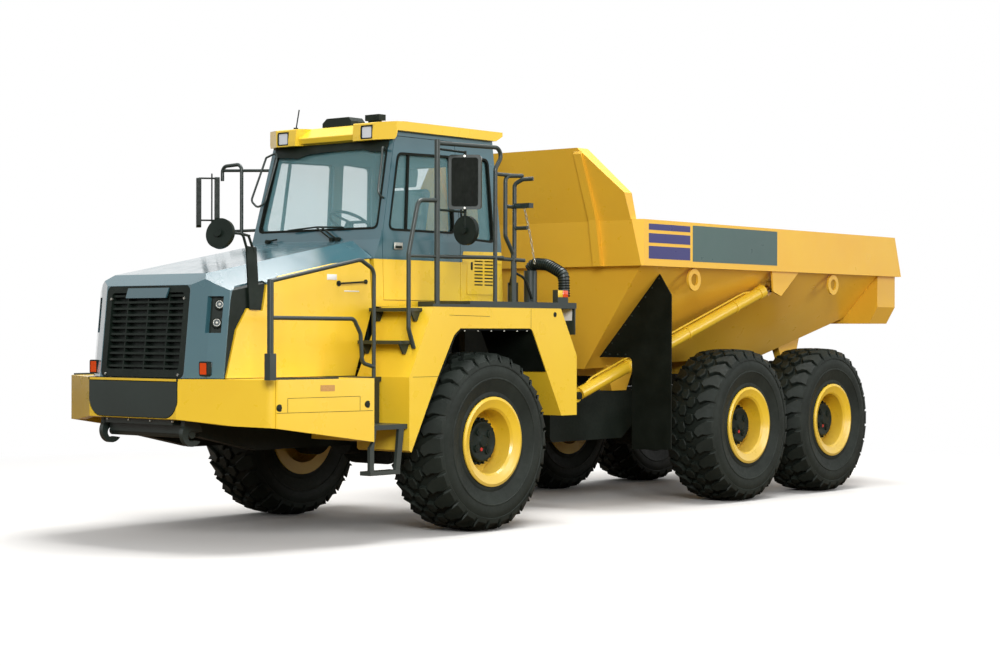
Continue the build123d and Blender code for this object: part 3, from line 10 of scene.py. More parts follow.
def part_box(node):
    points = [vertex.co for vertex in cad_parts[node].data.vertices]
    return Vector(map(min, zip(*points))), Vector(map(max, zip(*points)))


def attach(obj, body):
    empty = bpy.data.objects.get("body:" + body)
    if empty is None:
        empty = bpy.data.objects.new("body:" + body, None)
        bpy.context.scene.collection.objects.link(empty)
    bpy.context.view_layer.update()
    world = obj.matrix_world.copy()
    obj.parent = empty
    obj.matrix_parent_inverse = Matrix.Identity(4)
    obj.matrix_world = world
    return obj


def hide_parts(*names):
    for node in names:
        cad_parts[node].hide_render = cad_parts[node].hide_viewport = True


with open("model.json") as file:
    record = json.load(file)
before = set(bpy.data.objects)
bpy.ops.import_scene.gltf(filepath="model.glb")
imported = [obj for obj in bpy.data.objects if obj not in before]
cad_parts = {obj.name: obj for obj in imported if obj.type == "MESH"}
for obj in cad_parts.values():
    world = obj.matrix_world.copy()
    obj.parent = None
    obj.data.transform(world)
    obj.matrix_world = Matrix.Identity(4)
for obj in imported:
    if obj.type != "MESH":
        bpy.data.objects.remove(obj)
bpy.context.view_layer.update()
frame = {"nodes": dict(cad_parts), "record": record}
nodes = frame["nodes"]
scene = bpy.context.scene

# ---- main places, the same as in the frame, in metres ------------------------------
AXLE_Z = 0.79
WHEEL_Y = 1.18
FRONT_AXLE_X = 2.27
AXLES = {"front": FRONT_AXLE_X, "middle": FRONT_AXLE_X - 4.15, "rear": FRONT_AXLE_X - 5.85}
SIDES = {"left": 1, "right": -1}


def ahead(distance):
    """X at a distance ahead of the front axle."""
    return FRONT_AXLE_X + distance


# ---- camera ------------------------------------------------------------------------
CAMERA_PLACE = (ahead(13.499), 12.733, 1.774)
CAMERA_TURN = -140.305, -0.089, 0.1185      # yaw, pitch and roll in degrees
LENS, SENSOR_WIDTH = 72.02, 36              # millimetres


def set_camera():
    """Eye height, three quarters from the front left."""
    yaw, pitch, roll = (radians(angle) for angle in CAMERA_TURN)
    forward = Vector((cos(yaw) * cos(pitch), sin(yaw) * cos(pitch), sin(pitch)))
    right = forward.cross(Vector((0, 0, 1))).normalized()
    up = right.cross(forward)
    turned_right = right * cos(roll) + up * sin(roll)
    turned_up = up * cos(roll) - right * sin(roll)
    camera = bpy.data.objects.new("camera", bpy.data.cameras.new("camera"))
    scene.collection.objects.link(camera)
    pose = Matrix((turned_right, turned_up, -forward)).transposed().to_4x4()
    pose.translation = Vector(CAMERA_PLACE)
    camera.matrix_world = pose
    camera.data.lens = LENS
    camera.data.sensor_width = SENSOR_WIDTH
    camera.data.clip_end = 200
    scene.camera = camera


# ---- materials ---------------------------------------------------------------------
def new_material(name):
    """Empty principled material with object coordinates at hand."""
    material = bpy.data.materials.new(name)
    material.use_nodes = True
    tree = material.node_tree
    shader = tree.nodes["Principled BSDF"]
    coordinates = tree.nodes.new("ShaderNodeTexCoord")
    return material, tree, shader, coordinates.outputs["Object"]


def noise(tree, place, scale, detail=3, roughness=0.5):
    """Noise pattern at a scale per metre."""
    node = tree.nodes.new("ShaderNodeTexNoise")
    node.inputs["Scale"].default_value = scale
    node.inputs["Detail"].default_value = detail
    node.inputs["Roughness"].default_value = roughness
    tree.links.new(place, node.inputs["Vector"])
    return node.outputs["Fac"]


def ramp(tree, value, low, high, low_out=0.0, high_out=1.0):
    """Value stretched between two limits."""
    node = tree.nodes.new("ShaderNodeMapRange")
    limits = {"From Min": low, "From Max": high, "To Min": low_out, "To Max": high_out}
    for key, number in limits.items():
        node.inputs[key].default_value = number
    tree.links.new(value, node.inputs["Value"])
    return node.outputs["Result"]


def mixed(tree, factor, first, second):
    """Colour between two colours or sockets."""
    node = tree.nodes.new("ShaderNodeMix")
    node.data_type = "RGBA"
    tree.links.new(factor, node.inputs["Factor"])
    for socket, colour in (("A", first), ("B", second)):
        slot = [i for i in node.inputs if i.name == socket and i.type == "RGBA"][0]
        if isinstance(colour, bpy.types.NodeSocket):
            tree.links.new(colour, slot)
        else:
            slot.default_value = (*colour, 1)
    return [o for o in node.outputs if o.type == "RGBA"][0]


def bumped(tree, shader, height, strength, distance):
    """Fine relief from a pattern."""
    node = tree.nodes.new("ShaderNodeBump")
    node.inputs["Strength"].default_value = strength
    node.inputs["Distance"].default_value = distance
    tree.links.new(height, node.inputs["Height"])
    tree.links.new(node.outputs["Normal"], shader.inputs["Normal"])


def paint(name, colour, deep, roughness=0.32, coat=0.25, dust=(0.30, 0.26, 0.20), dust_top=0.0):
    """Sprayed paint: slight tone drift, orange peel and dust low down."""
    material, tree, shader, place = new_material(name)
    drift = ramp(tree, noise(tree, place, 1.3, 4), 0.35, 0.7)
    tone = mixed(tree, drift, colour, deep)
    if dust_top:
        height = tree.nodes.new("ShaderNodeSeparateXYZ")
        tree.links.new(place, height.inputs[0])
        low = ramp(tree, height.outputs["Z"], 0.3, dust_top, 0.35, 0.0)
        tone = mixed(tree, low, tone, dust)
    tree.links.new(tone, shader.inputs["Base Color"])
    uneven = ramp(tree, noise(tree, place, 7, 4), 0.3, 0.75, roughness - 0.05, roughness + 0.1)
    tree.links.new(uneven, shader.inputs["Roughness"])
    shader.inputs["Coat Weight"].default_value = coat
    shader.inputs["Coat Roughness"].default_value = 0.12
    bumped(tree, shader, noise(tree, place, 220, 2), 0.06, 0.002)
    return material


def moulded(name, colour, roughness=0.55, grain=600.0, gloss=0.5):
    """Moulded plastic or rubber with a fine grain."""
    material, tree, shader, place = new_material(name)
    shader.inputs["Specular IOR Level"].default_value = gloss
    lighter = tuple(c * 1.5 + 0.004 for c in colour)
    tree.links.new(mixed(tree, ramp(tree, noise(tree, place, 5, 4), 0.35, 0.75), colour, lighter),
                   shader.inputs["Base Color"])
    uneven = ramp(tree, noise(tree, place, 30, 3), 0.3, 0.7, roughness - 0.08, roughness + 0.08)
    tree.links.new(uneven, shader.inputs["Roughness"])
    bumped(tree, shader, noise(tree, place, grain, 2), 0.15, 0.001)
    return material


def tinted_glass(name, colour, alpha):
    """Thin tinted pane."""
    material, tree, shader, place = new_material(name)
    shader.inputs["Base Color"].default_value = (*colour, 1)
    shader.inputs["Roughness"].default_value = 0.04
    shader.inputs["Alpha"].default_value = alpha
    shader.inputs["Coat Weight"].default_value = 0.6
    bumped(tree, shader, noise(tree, place, 1.2, 2), 0.02, 0.01)
    return material


def metal(name, colour, roughness=0.25):
    """Bright metal with drawn streaks."""
    material, tree, shader, place = new_material(name)
    shader.inputs["Metallic"].default_value = 1.0
    tree.links.new(mixed(tree, ramp(tree, noise(tree, place, 60, 3), 0.3, 0.7), colour,
                         tuple(c * 0.8 for c in colour)), shader.inputs["Base Color"])
    uneven = ramp(tree, noise(tree, place, 140, 2), 0.3, 0.7, roughness - 0.06, roughness + 0.1)
    tree.links.new(uneven, shader.inputs["Roughness"])
    return material


# colours as (main, deeper) pairs of linear red, green and blue
YELLOW = (0.86, 0.58, 0.030), (0.82, 0.53, 0.026)
# the body's yellow is the frame's paint made more orange: painted shade standing in for light
# bounced between the yellow surfaces
BODY_YELLOW_PAINTED_BOUNCE = (0.90, 0.540, 0.044), (0.87, 0.495, 0.040)
SLATE = (0.040, 0.120, 0.148), (0.034, 0.106, 0.131)
DARK = (0.016, 0.028, 0.024), (0.012, 0.021, 0.018)
DARK_DUST = (0.08, 0.08, 0.07)
DUST_TOP = 0.9          # height that road dust reaches
finish = {
    "yellow": paint("yellow_paint", *YELLOW, roughness=0.30, coat=0.35, dust_top=DUST_TOP),
    "slate": paint("slate_paint", *SLATE, roughness=0.20, coat=0.85),
    # body paint: the yellow made more orange, as painted bounce shade
    "body": paint("body_paint", *BODY_YELLOW_PAINTED_BOUNCE, roughness=0.32, coat=0.3),
    "dark": paint("dark_paint", *DARK, roughness=0.42, coat=0.10, dust=DARK_DUST,
                  dust_top=DUST_TOP),
    "iron": moulded("engine_iron", (0.06, 0.06, 0.065), 0.6, 90),
    "plastic": moulded("black_plastic", (0.006, 0.011, 0.008), 0.42, gloss=0.16),
    "rubber": moulded("tyre_rubber", (0.009, 0.013, 0.010), 0.58, 260, gloss=0.22),
    "sheet": moulded("rubber_sheet", (0.003, 0.005, 0.003), 0.6, 300, gloss=0.12),
    "chassis": moulded("chassis_black", (0.006, 0.010, 0.007), 0.55, 120, gloss=0.2),
    "fabric": moulded("seat_fabric", (0.030, 0.034, 0.045), 0.85, 900),
    "chrome": metal("rod_chrome", (0.62, 0.62, 0.64), 0.16),
    "glass": tinted_glass("tinted_glass", (0.30, 0.60, 0.64), 0.20),
    "lamp": tinted_glass("lamp_glass", (0.80, 0.84, 0.88), 0.85),
    "lens": tinted_glass("headlamp_glass", (0.30, 0.36, 0.38), 0.35),
    "red": paint("red_plug", (0.55, 0.02, 0.015), (0.5, 0.02, 0.015)),
    "amber": tinted_glass("amber_lens", (0.80, 0.085, 0.012), 0.96),
    "stripe": paint("stripe_blue", (0.030, 0.030, 0.170), (0.026, 0.026, 0.150)),
    "panel": paint("panel_green", (0.058, 0.118, 0.110), (0.052, 0.106, 0.100)),
    "white": paint("blank_plate", (0.80, 0.81, 0.80), (0.74, 0.75, 0.74)),
    "bronze": metal("bronze_plate", (0.50, 0.28, 0.10), 0.4),
    "bolt": metal("bolt_zinc", (0.56, 0.56, 0.50), 0.34),
}
FINISH_OF_SLOT = {
    "yellow_paint": "yellow", "body_paint": "body", "wheel_paint": "yellow",
    "slate_paint": "slate", "dark_paint": "dark", "engine_iron": "iron",
    "black_plastic": "plastic", "tyre": "rubber", "rubber_sheet": "sheet",
    "seat_fabric": "fabric", "rod_chrome": "chrome", "tinted_glass": "glass",
    "lamp_glass": "lamp"}
UNDERSIDE = ("front_chassis", "rear_chassis", "hitch", "front_axle", "bogie")
OWN_FINISH = {**{node: "chassis" for node in UNDERSIDE}, "front_lamps": "lens"}


def shade_by_angle(piece, degrees=32):
    """Smooth faces that meet at less than an angle."""
    piece.data.shade_smooth()
    piece.data.set_sharp_from_angle(angle=radians(degrees))


def dress_nodes():
    """Every node of the frame gets its own finish or that of its slot."""
    slots = {row["node"]: row["material_slot"] for row in frame["record"]["subparts"]}
    for name, node in nodes.items():
        node.data.materials.clear()
        chosen = OWN_FINISH.get(name) or FINISH_OF_SLOT[slots[name]]
        node.data.materials.append(finish[chosen])
        shade_by_angle(node)


# ---- floor and light ---------------------------------------------------------------
FLOOR_TONE = (0.82, 0.8077, 0.7872, 1)
FLOOR_BOUNCE = (0.20, 0.144, 0.10, 1)       # what the floor throws back onto the underside
FLOOR_FADE = 7.5, 10.5                      # distances over which the floor turns white
SKY = 0.40
LAMPS = {                                   # place, target, power, size
    "overhead": ((-1, 1.5, 17), (-1, 0, 0), 3500, 10),
    "front_left": ((15, 13, 8), (0, 0, 1.5), 2450, 6),
    "left_fill": ((-6, 18, 5), (-1.5, 0, 1.5), 900, 8),
    "rear_fill": ((-17, -7, 8), (-1, 0, 1.5), 800, 8)}


def make_floor():
    """Wide floor that fades to white and bounces little light."""
    bm = bmesh.new()
    bmesh.ops.create_grid(bm, x_segments=1, y_segments=1, size=150)
    data = bpy.data.meshes.new("floor")
    bm.to_mesh(data)
    bm.free()
    floor = bpy.data.objects.new("floor", data)
    scene.collection.objects.link(floor)
    material, tree, shader, place = new_material("floor_white")
    shader.inputs["Roughness"].default_value = 0.9
    shader.inputs["Specular IOR Level"].default_value = 0.0
    shader.inputs["Base Color"].default_value = FLOOR_TONE
    dim = tree.nodes.new("ShaderNodeBsdfDiffuse")
    dim.inputs["Color"].default_value = FLOOR_BOUNCE
    glow = tree.nodes.new("ShaderNodeEmission")
    glow.inputs["Color"].default_value = (1, 1, 1, 1)
    seen = tree.nodes.new("ShaderNodeLightPath")
    reach = tree.nodes.new("ShaderNodeVectorMath")
    reach.operation = "LENGTH"
    tree.links.new(place, reach.inputs[0])
    far = ramp(tree, reach.outputs["Value"], *FLOOR_FADE)
    pale, shown = (tree.nodes.new("ShaderNodeMixShader") for _ in range(2))
    camera_ray = seen.outputs["Is Camera Ray"]
    for node, factor, first, second in ((pale, far, shader.outputs[0], glow.outputs[0]),
                                        (shown, camera_ray, dim.outputs[0], pale.outputs[0])):
        tree.links.new(factor, node.inputs["Fac"])
        tree.links.new(first, node.inputs[1])
        tree.links.new(second, node.inputs[2])
    tree.links.new(shown.outputs[0], tree.nodes["Material Output"].inputs["Surface"])
    data.materials.append(material)


def make_surroundings():
    """White surroundings to look at and to reflect, dimmer as a light."""
    world = bpy.data.worlds.new("surroundings")
    scene.world = world
    world.use_nodes = True
    tree = world.node_tree
    background = tree.nodes["Background"]
    path = tree.nodes.new("ShaderNodeLightPath")
    white = path.outputs["Is Camera Ray"]
    for kind in ("Is Transmission Ray", "Is Glossy Ray"):
        either = tree.nodes.new("ShaderNodeMath")
        either.operation = "MAXIMUM"
        tree.links.new(white, either.inputs[0])
        tree.links.new(path.outputs[kind], either.inputs[1])
        white = either.outputs[0]
    tree.links.new(ramp(tree, white, 0, 1, SKY, 1.0), background.inputs["Strength"])
    background.inputs["Color"].default_value = (1, 1, 1, 1)


def make_lamps():
    """Soft area lamps, each aimed at a point."""
    for name, (place, target, power, size) in LAMPS.items():
        data = bpy.data.lights.new(name, "AREA")
        data.energy = power
        data.size = size
        light = bpy.data.objects.new(name, data)
        scene.collection.objects.link(light)
        light.location = place
        aim = Vector(target) - Vector(place)
        light.rotation_euler = aim.to_track_quat("-Z", "Y").to_euler()


# ---- mesh helpers ------------------------------------------------------------------
FRAME = "front_frame"


def finished(name, bm, material, body=FRAME, stands_for=(), smooth=32):
    """Mesh made into a piece that rides on a body."""
    bmesh.ops.recalc_face_normals(bm, faces=bm.faces)
    data = bpy.data.meshes.new(name)
    bm.to_mesh(data)
    bm.free()
    data.materials.append(finish[material])
    piece = bpy.data.objects.new(name, data)
    scene.collection.objects.link(piece)
    shade_by_angle(piece, smooth)
    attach(piece, body)
    if stands_for:
        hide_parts(*stands_for)


def paired(name, bm, material, body=FRAME):
    """One piece of a left mesh and its twin on the right."""
    finished(name, mirrored(bm), material, body)


def both_sides(name, bm, material, body):
    """Left and right pieces, each on its own body, from one left mesh."""
    twin = bm.copy()
    finished(name + "_left", bm, material, body.format(side="left"))
    finished(name + "_right", moved(twin, flip=-1), material, body.format(side="right"))


def moved(bm, offset=(0, 0, 0), flip=1):
    """Whole mesh mirrored over the middle if asked, then moved."""
    if flip < 0:
        bmesh.ops.scale(bm, vec=(1, -1, 1), verts=bm.verts)
    bmesh.ops.translate(bm, vec=offset, verts=bm.verts)
    return bm


def mirrored(bm):
    """Mesh with its twin on the other side of the truck."""
    twin = bmesh.ops.duplicate(bm, geom=bm.verts[:] + bm.edges[:] + bm.faces[:])["geom"]
    verts = [g for g in twin if isinstance(g, bmesh.types.BMVert)]
    bmesh.ops.scale(bm, vec=(1, -1, 1), verts=verts)
    return bm


def bevelled(bm, edges, offset, segments):
    """Edges given a small flat or round bevel."""
    bmesh.ops.bevel(bm, geom=edges, offset=offset, segments=segments, profile=0.5,
                    affect="EDGES", material=-1)


def lathe(bm, profile, steps=48, closed=True):
    """Profile of (radius, distance along Y) spun about the Y axis."""
    verts = [bm.verts.new((0, y, r)) for r, y in profile]
    edges = [bm.edges.new(pair) for pair in zip(verts, verts[1:])]
    if closed:
        edges.append(bm.edges.new((verts[-1], verts[0])))
    bmesh.ops.spin(bm, geom=verts + edges, cent=(0, 0, 0), axis=(0, 1, 0), angle=2 * pi,
                   steps=steps, use_merge=True)
    bmesh.ops.remove_doubles(bm, verts=bm.verts, dist=1e-5)


def lathe_at(bm, profile, place, closed=True, along=(0, 1, 0), steps=32):
    """Profile spun about the Y axis, turned to a direction and moved to a place."""
    part = bmesh.new()
    lathe(part, profile, steps, closed)
    turn = Vector(along).to_track_quat("Y", "Z").to_matrix()
    bmesh.ops.rotate(part, cent=(0, 0, 0), matrix=turn, verts=part.verts)
    bmesh.ops.translate(part, vec=place, verts=part.verts)
    data = bpy.data.meshes.new("turned")
    part.to_mesh(data)
    part.free()
    bm.from_mesh(data)
    bpy.data.meshes.remove(data)


def block(bm, low, high, bevel=0.0):
    """Box between two corners, with rounded edges if asked."""
    made = bmesh.ops.create_cube(bm, size=1)["verts"]
    size = [b - a for a, b in zip(low, high)]
    bmesh.ops.scale(bm, vec=size, verts=made)
    bmesh.ops.translate(bm, vec=[(a + b) / 2 for a, b in zip(low, high)], verts=made)
    if bevel:
        bevelled(bm, list({e for v in made for e in v.link_edges}), bevel, 2)


KNOB_TURN = {"X": Matrix.Rotation(pi / 2, 3, "Y"), "Y": Matrix.Rotation(-pi / 2, 3, "X"),
             "Z": Matrix.Identity(3)}


def knob(bm, centre, radius, height, axis="Y", sides=16, top=None):
    """Short round boss standing on a point."""
    made = bmesh.ops.create_cone(bm, cap_ends=True, segments=sides, radius1=radius,
                                 radius2=radius if top is None else top, depth=height)["verts"]
    bmesh.ops.translate(bm, vec=(0, 0, height / 2), verts=made)
    bmesh.ops.rotate(bm, cent=(0, 0, 0), matrix=KNOB_TURN[axis], verts=made)
    bmesh.ops.translate(bm, vec=centre, verts=made)


def softened(before, here, after, reach, samples):
    """Points of a smooth bend round one corner."""
    start = here + (before - here).normalized() * reach
    end = here + (after - here).normalized() * reach
    steps = [k / samples for k in range(samples + 1)]
    return [start * (1 - t) ** 2 + here * (2 * t * (1 - t)) + end * t ** 2 for t in steps]


def rounded(corners):
    """Outline of (u, v, radius) corners, each rounded where it has a radius."""
    points = []
    for i, corner in enumerate(corners):
        here = Vector(corner[:2])
        radius = corner[2] if len(corner) > 2 else 0
        if radius:
            before, after = Vector(corners[i - 1][:2]), Vector(corners[(i + 1) % len(corners)][:2])
            points += softened(before, here, after, radius, 5)
        else:
            points.append(here)
    return points


def bent(route, bend, samples=6):
    """Route with its inner corners rounded."""
    route = [Vector(p) for p in route]
    points = [route[0]]
    for before, here, after in zip(route, route[1:], route[2:]):
        reach = min(bend, (before - here).length / 2, (after - here).length / 2)
        points += softened(before, here, after, reach, samples)
    return points + [route[-1]]


def rectangle(u_low, v_low, u_high, v_high, radius):
    """Outline of a rectangle with equal corners."""
    return [(u_low, v_low, radius), (u_high, v_low, radius), (u_high, v_high, radius),
            (u_low, v_high, radius)]


def grown(corners, gap):
    """Four-sided outline moved outwards by a gap."""
    middle = [sum(c[i] for c in corners) / len(corners) for i in (0, 1)]
    return [(u + (gap if u > middle[0] else -gap), v + (gap if v > middle[1] else -gap),
             r + max(gap, 0)) for u, v, r in corners]


def seam_line(start, end, half_width):
    """Outline of a thin seam between two (distance ahead, height) points."""
    (x1, z1), (x2, z2) = start, end
    line = Vector((x2 - x1, z2 - z1)).normalized() * half_width
    return [(ahead(x1) - line.y, z1 + line.x), (ahead(x2) - line.y, z2 + line.x),
            (ahead(x2) + line.y, z2 - line.x), (ahead(x1) + line.y, z1 - line.x)]


PUT = {"X": lambda u, v, w: Vector((w, u, v)), "Y": lambda u, v, w: Vector((u, w, v))}


def pushed(bm, faces, vec):
    """Faces extruded by a vector; gives the new vertices."""
    made = bmesh.ops.extrude_face_region(bm, geom=faces)["geom"]
    verts = [v for v in made if isinstance(v, bmesh.types.BMVert)]
    bmesh.ops.translate(bm, vec=vec, verts=verts)
    return verts


def prism(bm, corners, low, high, axis="Y"):
    """Flat outline given thickness between two places along an axis."""
    put = PUT[axis]
    foot = [bm.verts.new(put(u, v, low)) for u, v in rounded(corners)]
    return foot + pushed(bm, [bm.faces.new(foot)], put(0, 0, high - low))


def loop_edges(bm, loop):
    """Edges round a closed loop of vertices."""
    return [bm.edges.new((loop[i], loop[(i + 1) % len(loop)])) for i in range(len(loop))]


def rim(bm, outer, inner, low, high, axis="Y"):
    """Flat ring between two outlines with the same corners, given thickness."""
    put = PUT[axis]
    loops = [[bm.verts.new(put(u, v, low)) for u, v in rounded(line)] for line in (outer, inner)]
    edges = [edge for loop in loops for edge in loop_edges(bm, loop)]
    ring = bmesh.ops.bridge_loops(bm, edges=edges)["faces"]
    pushed(bm, ring, put(0, 0, high - low))


def pipes(routes, radius, bend=0.05, sides=2):
    """Mesh of round tubes along routes, with closed ends."""
    curve = bpy.data.curves.new("route", "CURVE")
    curve.dimensions = "3D"
    curve.bevel_depth = radius
    curve.bevel_resolution = sides
    curve.use_fill_caps = True
    for route in routes:
        points = bent(route, bend)
        spline = curve.splines.new("POLY")
        spline.points.add(len(points) - 1)
        for point, place in zip(spline.points, points):
            point.co = (*place, 1)
    holder = bpy.data.objects.new("route", curve)
    data = bpy.data.meshes.new_from_object(holder)
    bm = bmesh.new()
    bm.from_mesh(data)
    bmesh.ops.remove_doubles(bm, verts=bm.verts, dist=1e-6)
    bpy.data.objects.remove(holder)
    bpy.data.curves.remove(curve)
    bpy.data.meshes.remove(data)
    return bm


# ---- tyres and hubs ----------------------------------------------------------------
PITCHES = 28            # tread blocks round each side
TREAD_BASE = 0.742      # radius at the foot of the blocks
TREAD_TOP = 0.790
TREAD_CROWN = 0.19      # fall of the tread per metre squared from its middle
SHOULDER_EDGE = 0.712   # radius where a shoulder block runs out on the sidewall
FOOT_LONG, FOOT_WIDE = 1.10, 1.04       # a block's foot compared with its top
LEAST_LUG = 0.03        # least height of a block
# sidewall as (radius, distance across), then the inside of the tyre
SIDEWALL = [
    (0.320, 0.247), (0.397, 0.250), (0.402, 0.262), (0.424, 0.264), (0.440, 0.258),
    (0.500, 0.276), (0.548, 0.290), (0.553, 0.296), (0.562, 0.296), (0.567, 0.292),
    (0.610, 0.296), (0.645, 0.291), (0.668, 0.283), (0.673, 0.288), (0.688, 0.286),
    (0.705, 0.272), (0.728, 0.252), (0.742, 0.222)]
HOLLOW = [(0.715, 0.19), (0.56, 0.25), (0.40, 0.215), (0.320, 0.205)]
# blocks as (share of a pitch, distance across)
SHOULDER_BLOCK = [
    (-0.36, 0.286), (0.35, 0.286), (0.40, 0.262), (0.42, 0.205), (0.58, 0.150), (0.30, 0.105),
    (0.02, 0.125), (-0.22, 0.190), (-0.39, 0.255)]
CENTRE_BLOCK = [
    (0.47, 0.096), (0.72, 0.060), (0.70, 0.012), (0.42, -0.004), (0.10, 0.018), (0.12, 0.080)]
CENTRE_SHIFT = 0.12
HUB_PROFILE = [
    (0.0, 0.170), (0.045, 0.170), (0.060, 0.158), (0.138, 0.150), (0.152, 0.156),
    (0.172, 0.154), (0.180, 0.144), (0.184, 0.105), (0.206, 0.100), (0.208, 0.062), (0.0, 0.062)]
HUB_BOLT_RING, HUB_BOLTS = 0.200, 24
BOSS_RING, BOSSES = 0.104, 4


def on_ring(radius, turn, across):
    """Point on a ring round the Y axis, with the turn in radians."""
    return radius * sin(turn), across, radius * cos(turn)


def tread_block(bm, outline, turn, flip, edge_radius=None):
    """Rubber block on the carcass; gives the edges round its top."""
    step = 2 * pi / PITCHES
    top, foot = [], []
    middle = [sum(p[i] for p in outline) / len(outline) for i in (0, 1)]
    for i, (along, across) in enumerate(outline):
        radius = edge_radius if edge_radius and i < 2 else TREAD_TOP - TREAD_CROWN * across * across
        top.append(bm.verts.new(on_ring(radius, (along + turn) * step, flip * across)))
        along = middle[0] + (along - middle[0]) * FOOT_LONG
        across = middle[1] + (across - middle[1]) * FOOT_WIDE
        radius = min(TREAD_BASE, radius - LEAST_LUG)
        foot.append(bm.verts.new(on_ring(radius, (along + turn) * step, flip * across)))
    top_edges, foot_edges = loop_edges(bm, top), loop_edges(bm, foot)
    bm.faces.new(top)
    bm.faces.new(foot[::-1])
    bmesh.ops.bridge_loops(bm, edges=top_edges + foot_edges)
    return top_edges


def tyre_mesh():
    """Carcass with its sidewall rings, and the blocks of the tread."""
    outer = SIDEWALL + [(0.752, 0.0)] + [(r, -y) for r, y in reversed(SIDEWALL)]
    inner = [(r, -y) for r, y in reversed(HOLLOW)] + HOLLOW
    bm = bmesh.new()
    lathe(bm, outer + inner, steps=96)
    tops = []
    for flip, start in ((1, 0), (-1, 0.5)):
        for i in range(PITCHES):
            turn = i + start
            tops += tread_block(bm, SHOULDER_BLOCK, turn, flip, SHOULDER_EDGE)
            tops += tread_block(bm, CENTRE_BLOCK, turn + CENTRE_SHIFT, flip)
    bevelled(bm, tops, 0.006, 1)
    return bm


def hub_mesh():
    """Hub cover with its bolt ring and planet bosses."""
    bm = bmesh.new()
    lathe(bm, HUB_PROFILE, closed=False)
    for i in range(HUB_BOLTS):
        knob(bm, on_ring(HUB_BOLT_RING, 2 * pi * i / HUB_BOLTS, 0.096), 0.012, 0.024, sides=6)
    for i in range(BOSSES):
        turn = 2 * pi * (i + 0.4) / BOSSES
        knob(bm, on_ring(BOSS_RING, turn, 0.148), 0.036, 0.020, sides=20, top=0.032)
        knob(bm, on_ring(BOSS_RING, turn, 0.166), 0.016, 0.007, sides=6)
    return bm


def make_tyres():
    """Six tyres, hubs and hub plugs on the wheels."""
    tyre, hub = tyre_mesh(), hub_mesh()
    for row, x in AXLES.items():
        for side_name, side in SIDES.items():
            place = (x, side * WHEEL_Y, AXLE_Z)
            wheel = f"{row}_{side_name}"
            body = f"wheel_{wheel}"
            finished(f"tread_{wheel}", moved(tyre.copy(), place, side), "rubber", body,
                     (f"tyre_{wheel}",), smooth=28)
            finished(f"hub_{wheel}", moved(hub.copy(), place, side), "plastic", body)
            plug = bmesh.new()
            knob(plug, (0.03, 0.154, -0.070), 0.017, 0.012, sides=6)
            finished(f"hub_plug_{wheel}", moved(plug, place, side), "red", body)


# ---- surfaces that trim follows ----------------------------------------------------
CAB_SIDE_Y, CAB_SIDE_TOP, CAB_SIDE_LEAN = 0.808, 2.57, 0.0604
SCREEN_X, SCREEN_Z, SCREEN_LEAN = ahead(0.766), 2.565, 0.2477
CAB_BACK_X, CAB_BACK_Z, CAB_BACK_LEAN = ahead(-0.914), 2.058, 0.0659
LOWER_SIDE_Y = 0.8085       # face of the cab's side below the windows
HOOD_SIDE_Y = 0.8105
NOSE_LEAN = 0.104           # backwards per height
OUTER_FACE_Y = 1.450        # fenders and body rails


def on_cab_side(bm):
    """Trim built about Y = 0 laid on the cab's leaning left side."""
    for v in bm.verts:
        v.co.y += CAB_SIDE_Y - CAB_SIDE_LEAN * max(0, v.co.z - CAB_SIDE_TOP)
    return bm


def on_screen(bm):
    """Trim built about X = 0 laid on the leaning windscreen frame."""
    for v in bm.verts:
        v.co.x += SCREEN_X - SCREEN_LEAN * (v.co.z - SCREEN_Z)
    return bm


def box_side_y(x):
    """Outer face of the side box."""
    return 1.262 + (ahead(2.49) - x) * 0.1938


def on_box_side(verts):
    """Trim built about Y = 0 laid on the side box's face."""
    for v in verts:
        v.co.y += box_side_y(v.co.x)


def face_ahead(node, y, z, reach):
    """Middle and direction of a node's forward face near a point."""
    faces = [p for p in nodes[node].data.polygons
             if (Vector(p.center).yz - Vector((y, z))).length < reach and p.normal.x > 0.5]
    area = sum(p.area for p in faces)
    centre = sum((Vector(p.center) * p.area for p in faces), Vector()) / area
    return centre, sum((Vector(p.normal) * p.area for p in faces), Vector()).normalized()


# ---- cab trim ----------------------------------------------------------------------
SIDE_WINDOW = [
    (ahead(0.650), 2.655, 0.06), (ahead(0.490), 3.330, 0.05), (ahead(-0.210), 3.345, 0.04),
    (ahead(-0.210), 2.655, 0.04)]
REAR_SIDE_WINDOW = [
    (ahead(-0.330), 2.615, 0.04), (ahead(-0.330), 3.365, 0.04), (ahead(-0.735), 3.350, 0.05),
    (ahead(-0.770), 2.590, 0.05)]
WINDSCREEN = [(-0.742, 2.666, 0.05), (0.742, 2.666, 0.05), (0.694, 3.406, 0.05),
              (-0.694, 3.406, 0.05)]
REAR_WINDOW = [(-0.600, 2.620, 0.06), (0.600, 2.620, 0.06), (0.570, 3.330, 0.06),
               (-0.570, 3.330, 0.06)]
WINDOW_BAR = [(ahead(0.430), 2.650), (ahead(0.405), 2.650), (ahead(0.330), 3.335),
              (ahead(0.355), 3.335)]
SEAL_OUT, SEAL_IN = 0.012, -0.008       # seal beyond and inside the window's edge
LOUVRE_ROWS, LOUVRE_FOOT, LOUVRE_STEP, LOUVRE_HEIGHT = 8, 2.182, 0.031, 0.012
LOUVRE_COLUMNS = ((-0.613, -0.498), (-0.759, -0.641))


def side_seal(window):
    """Seal of a left side window, with the bar that splits the front one."""
    bm = bmesh.new()
    rim(bm, grown(window, SEAL_OUT), grown(window, SEAL_IN), -0.034, 0.004)
    if window is SIDE_WINDOW:
        prism(bm, WINDOW_BAR, -0.030, -0.008)
    return on_cab_side(bm)


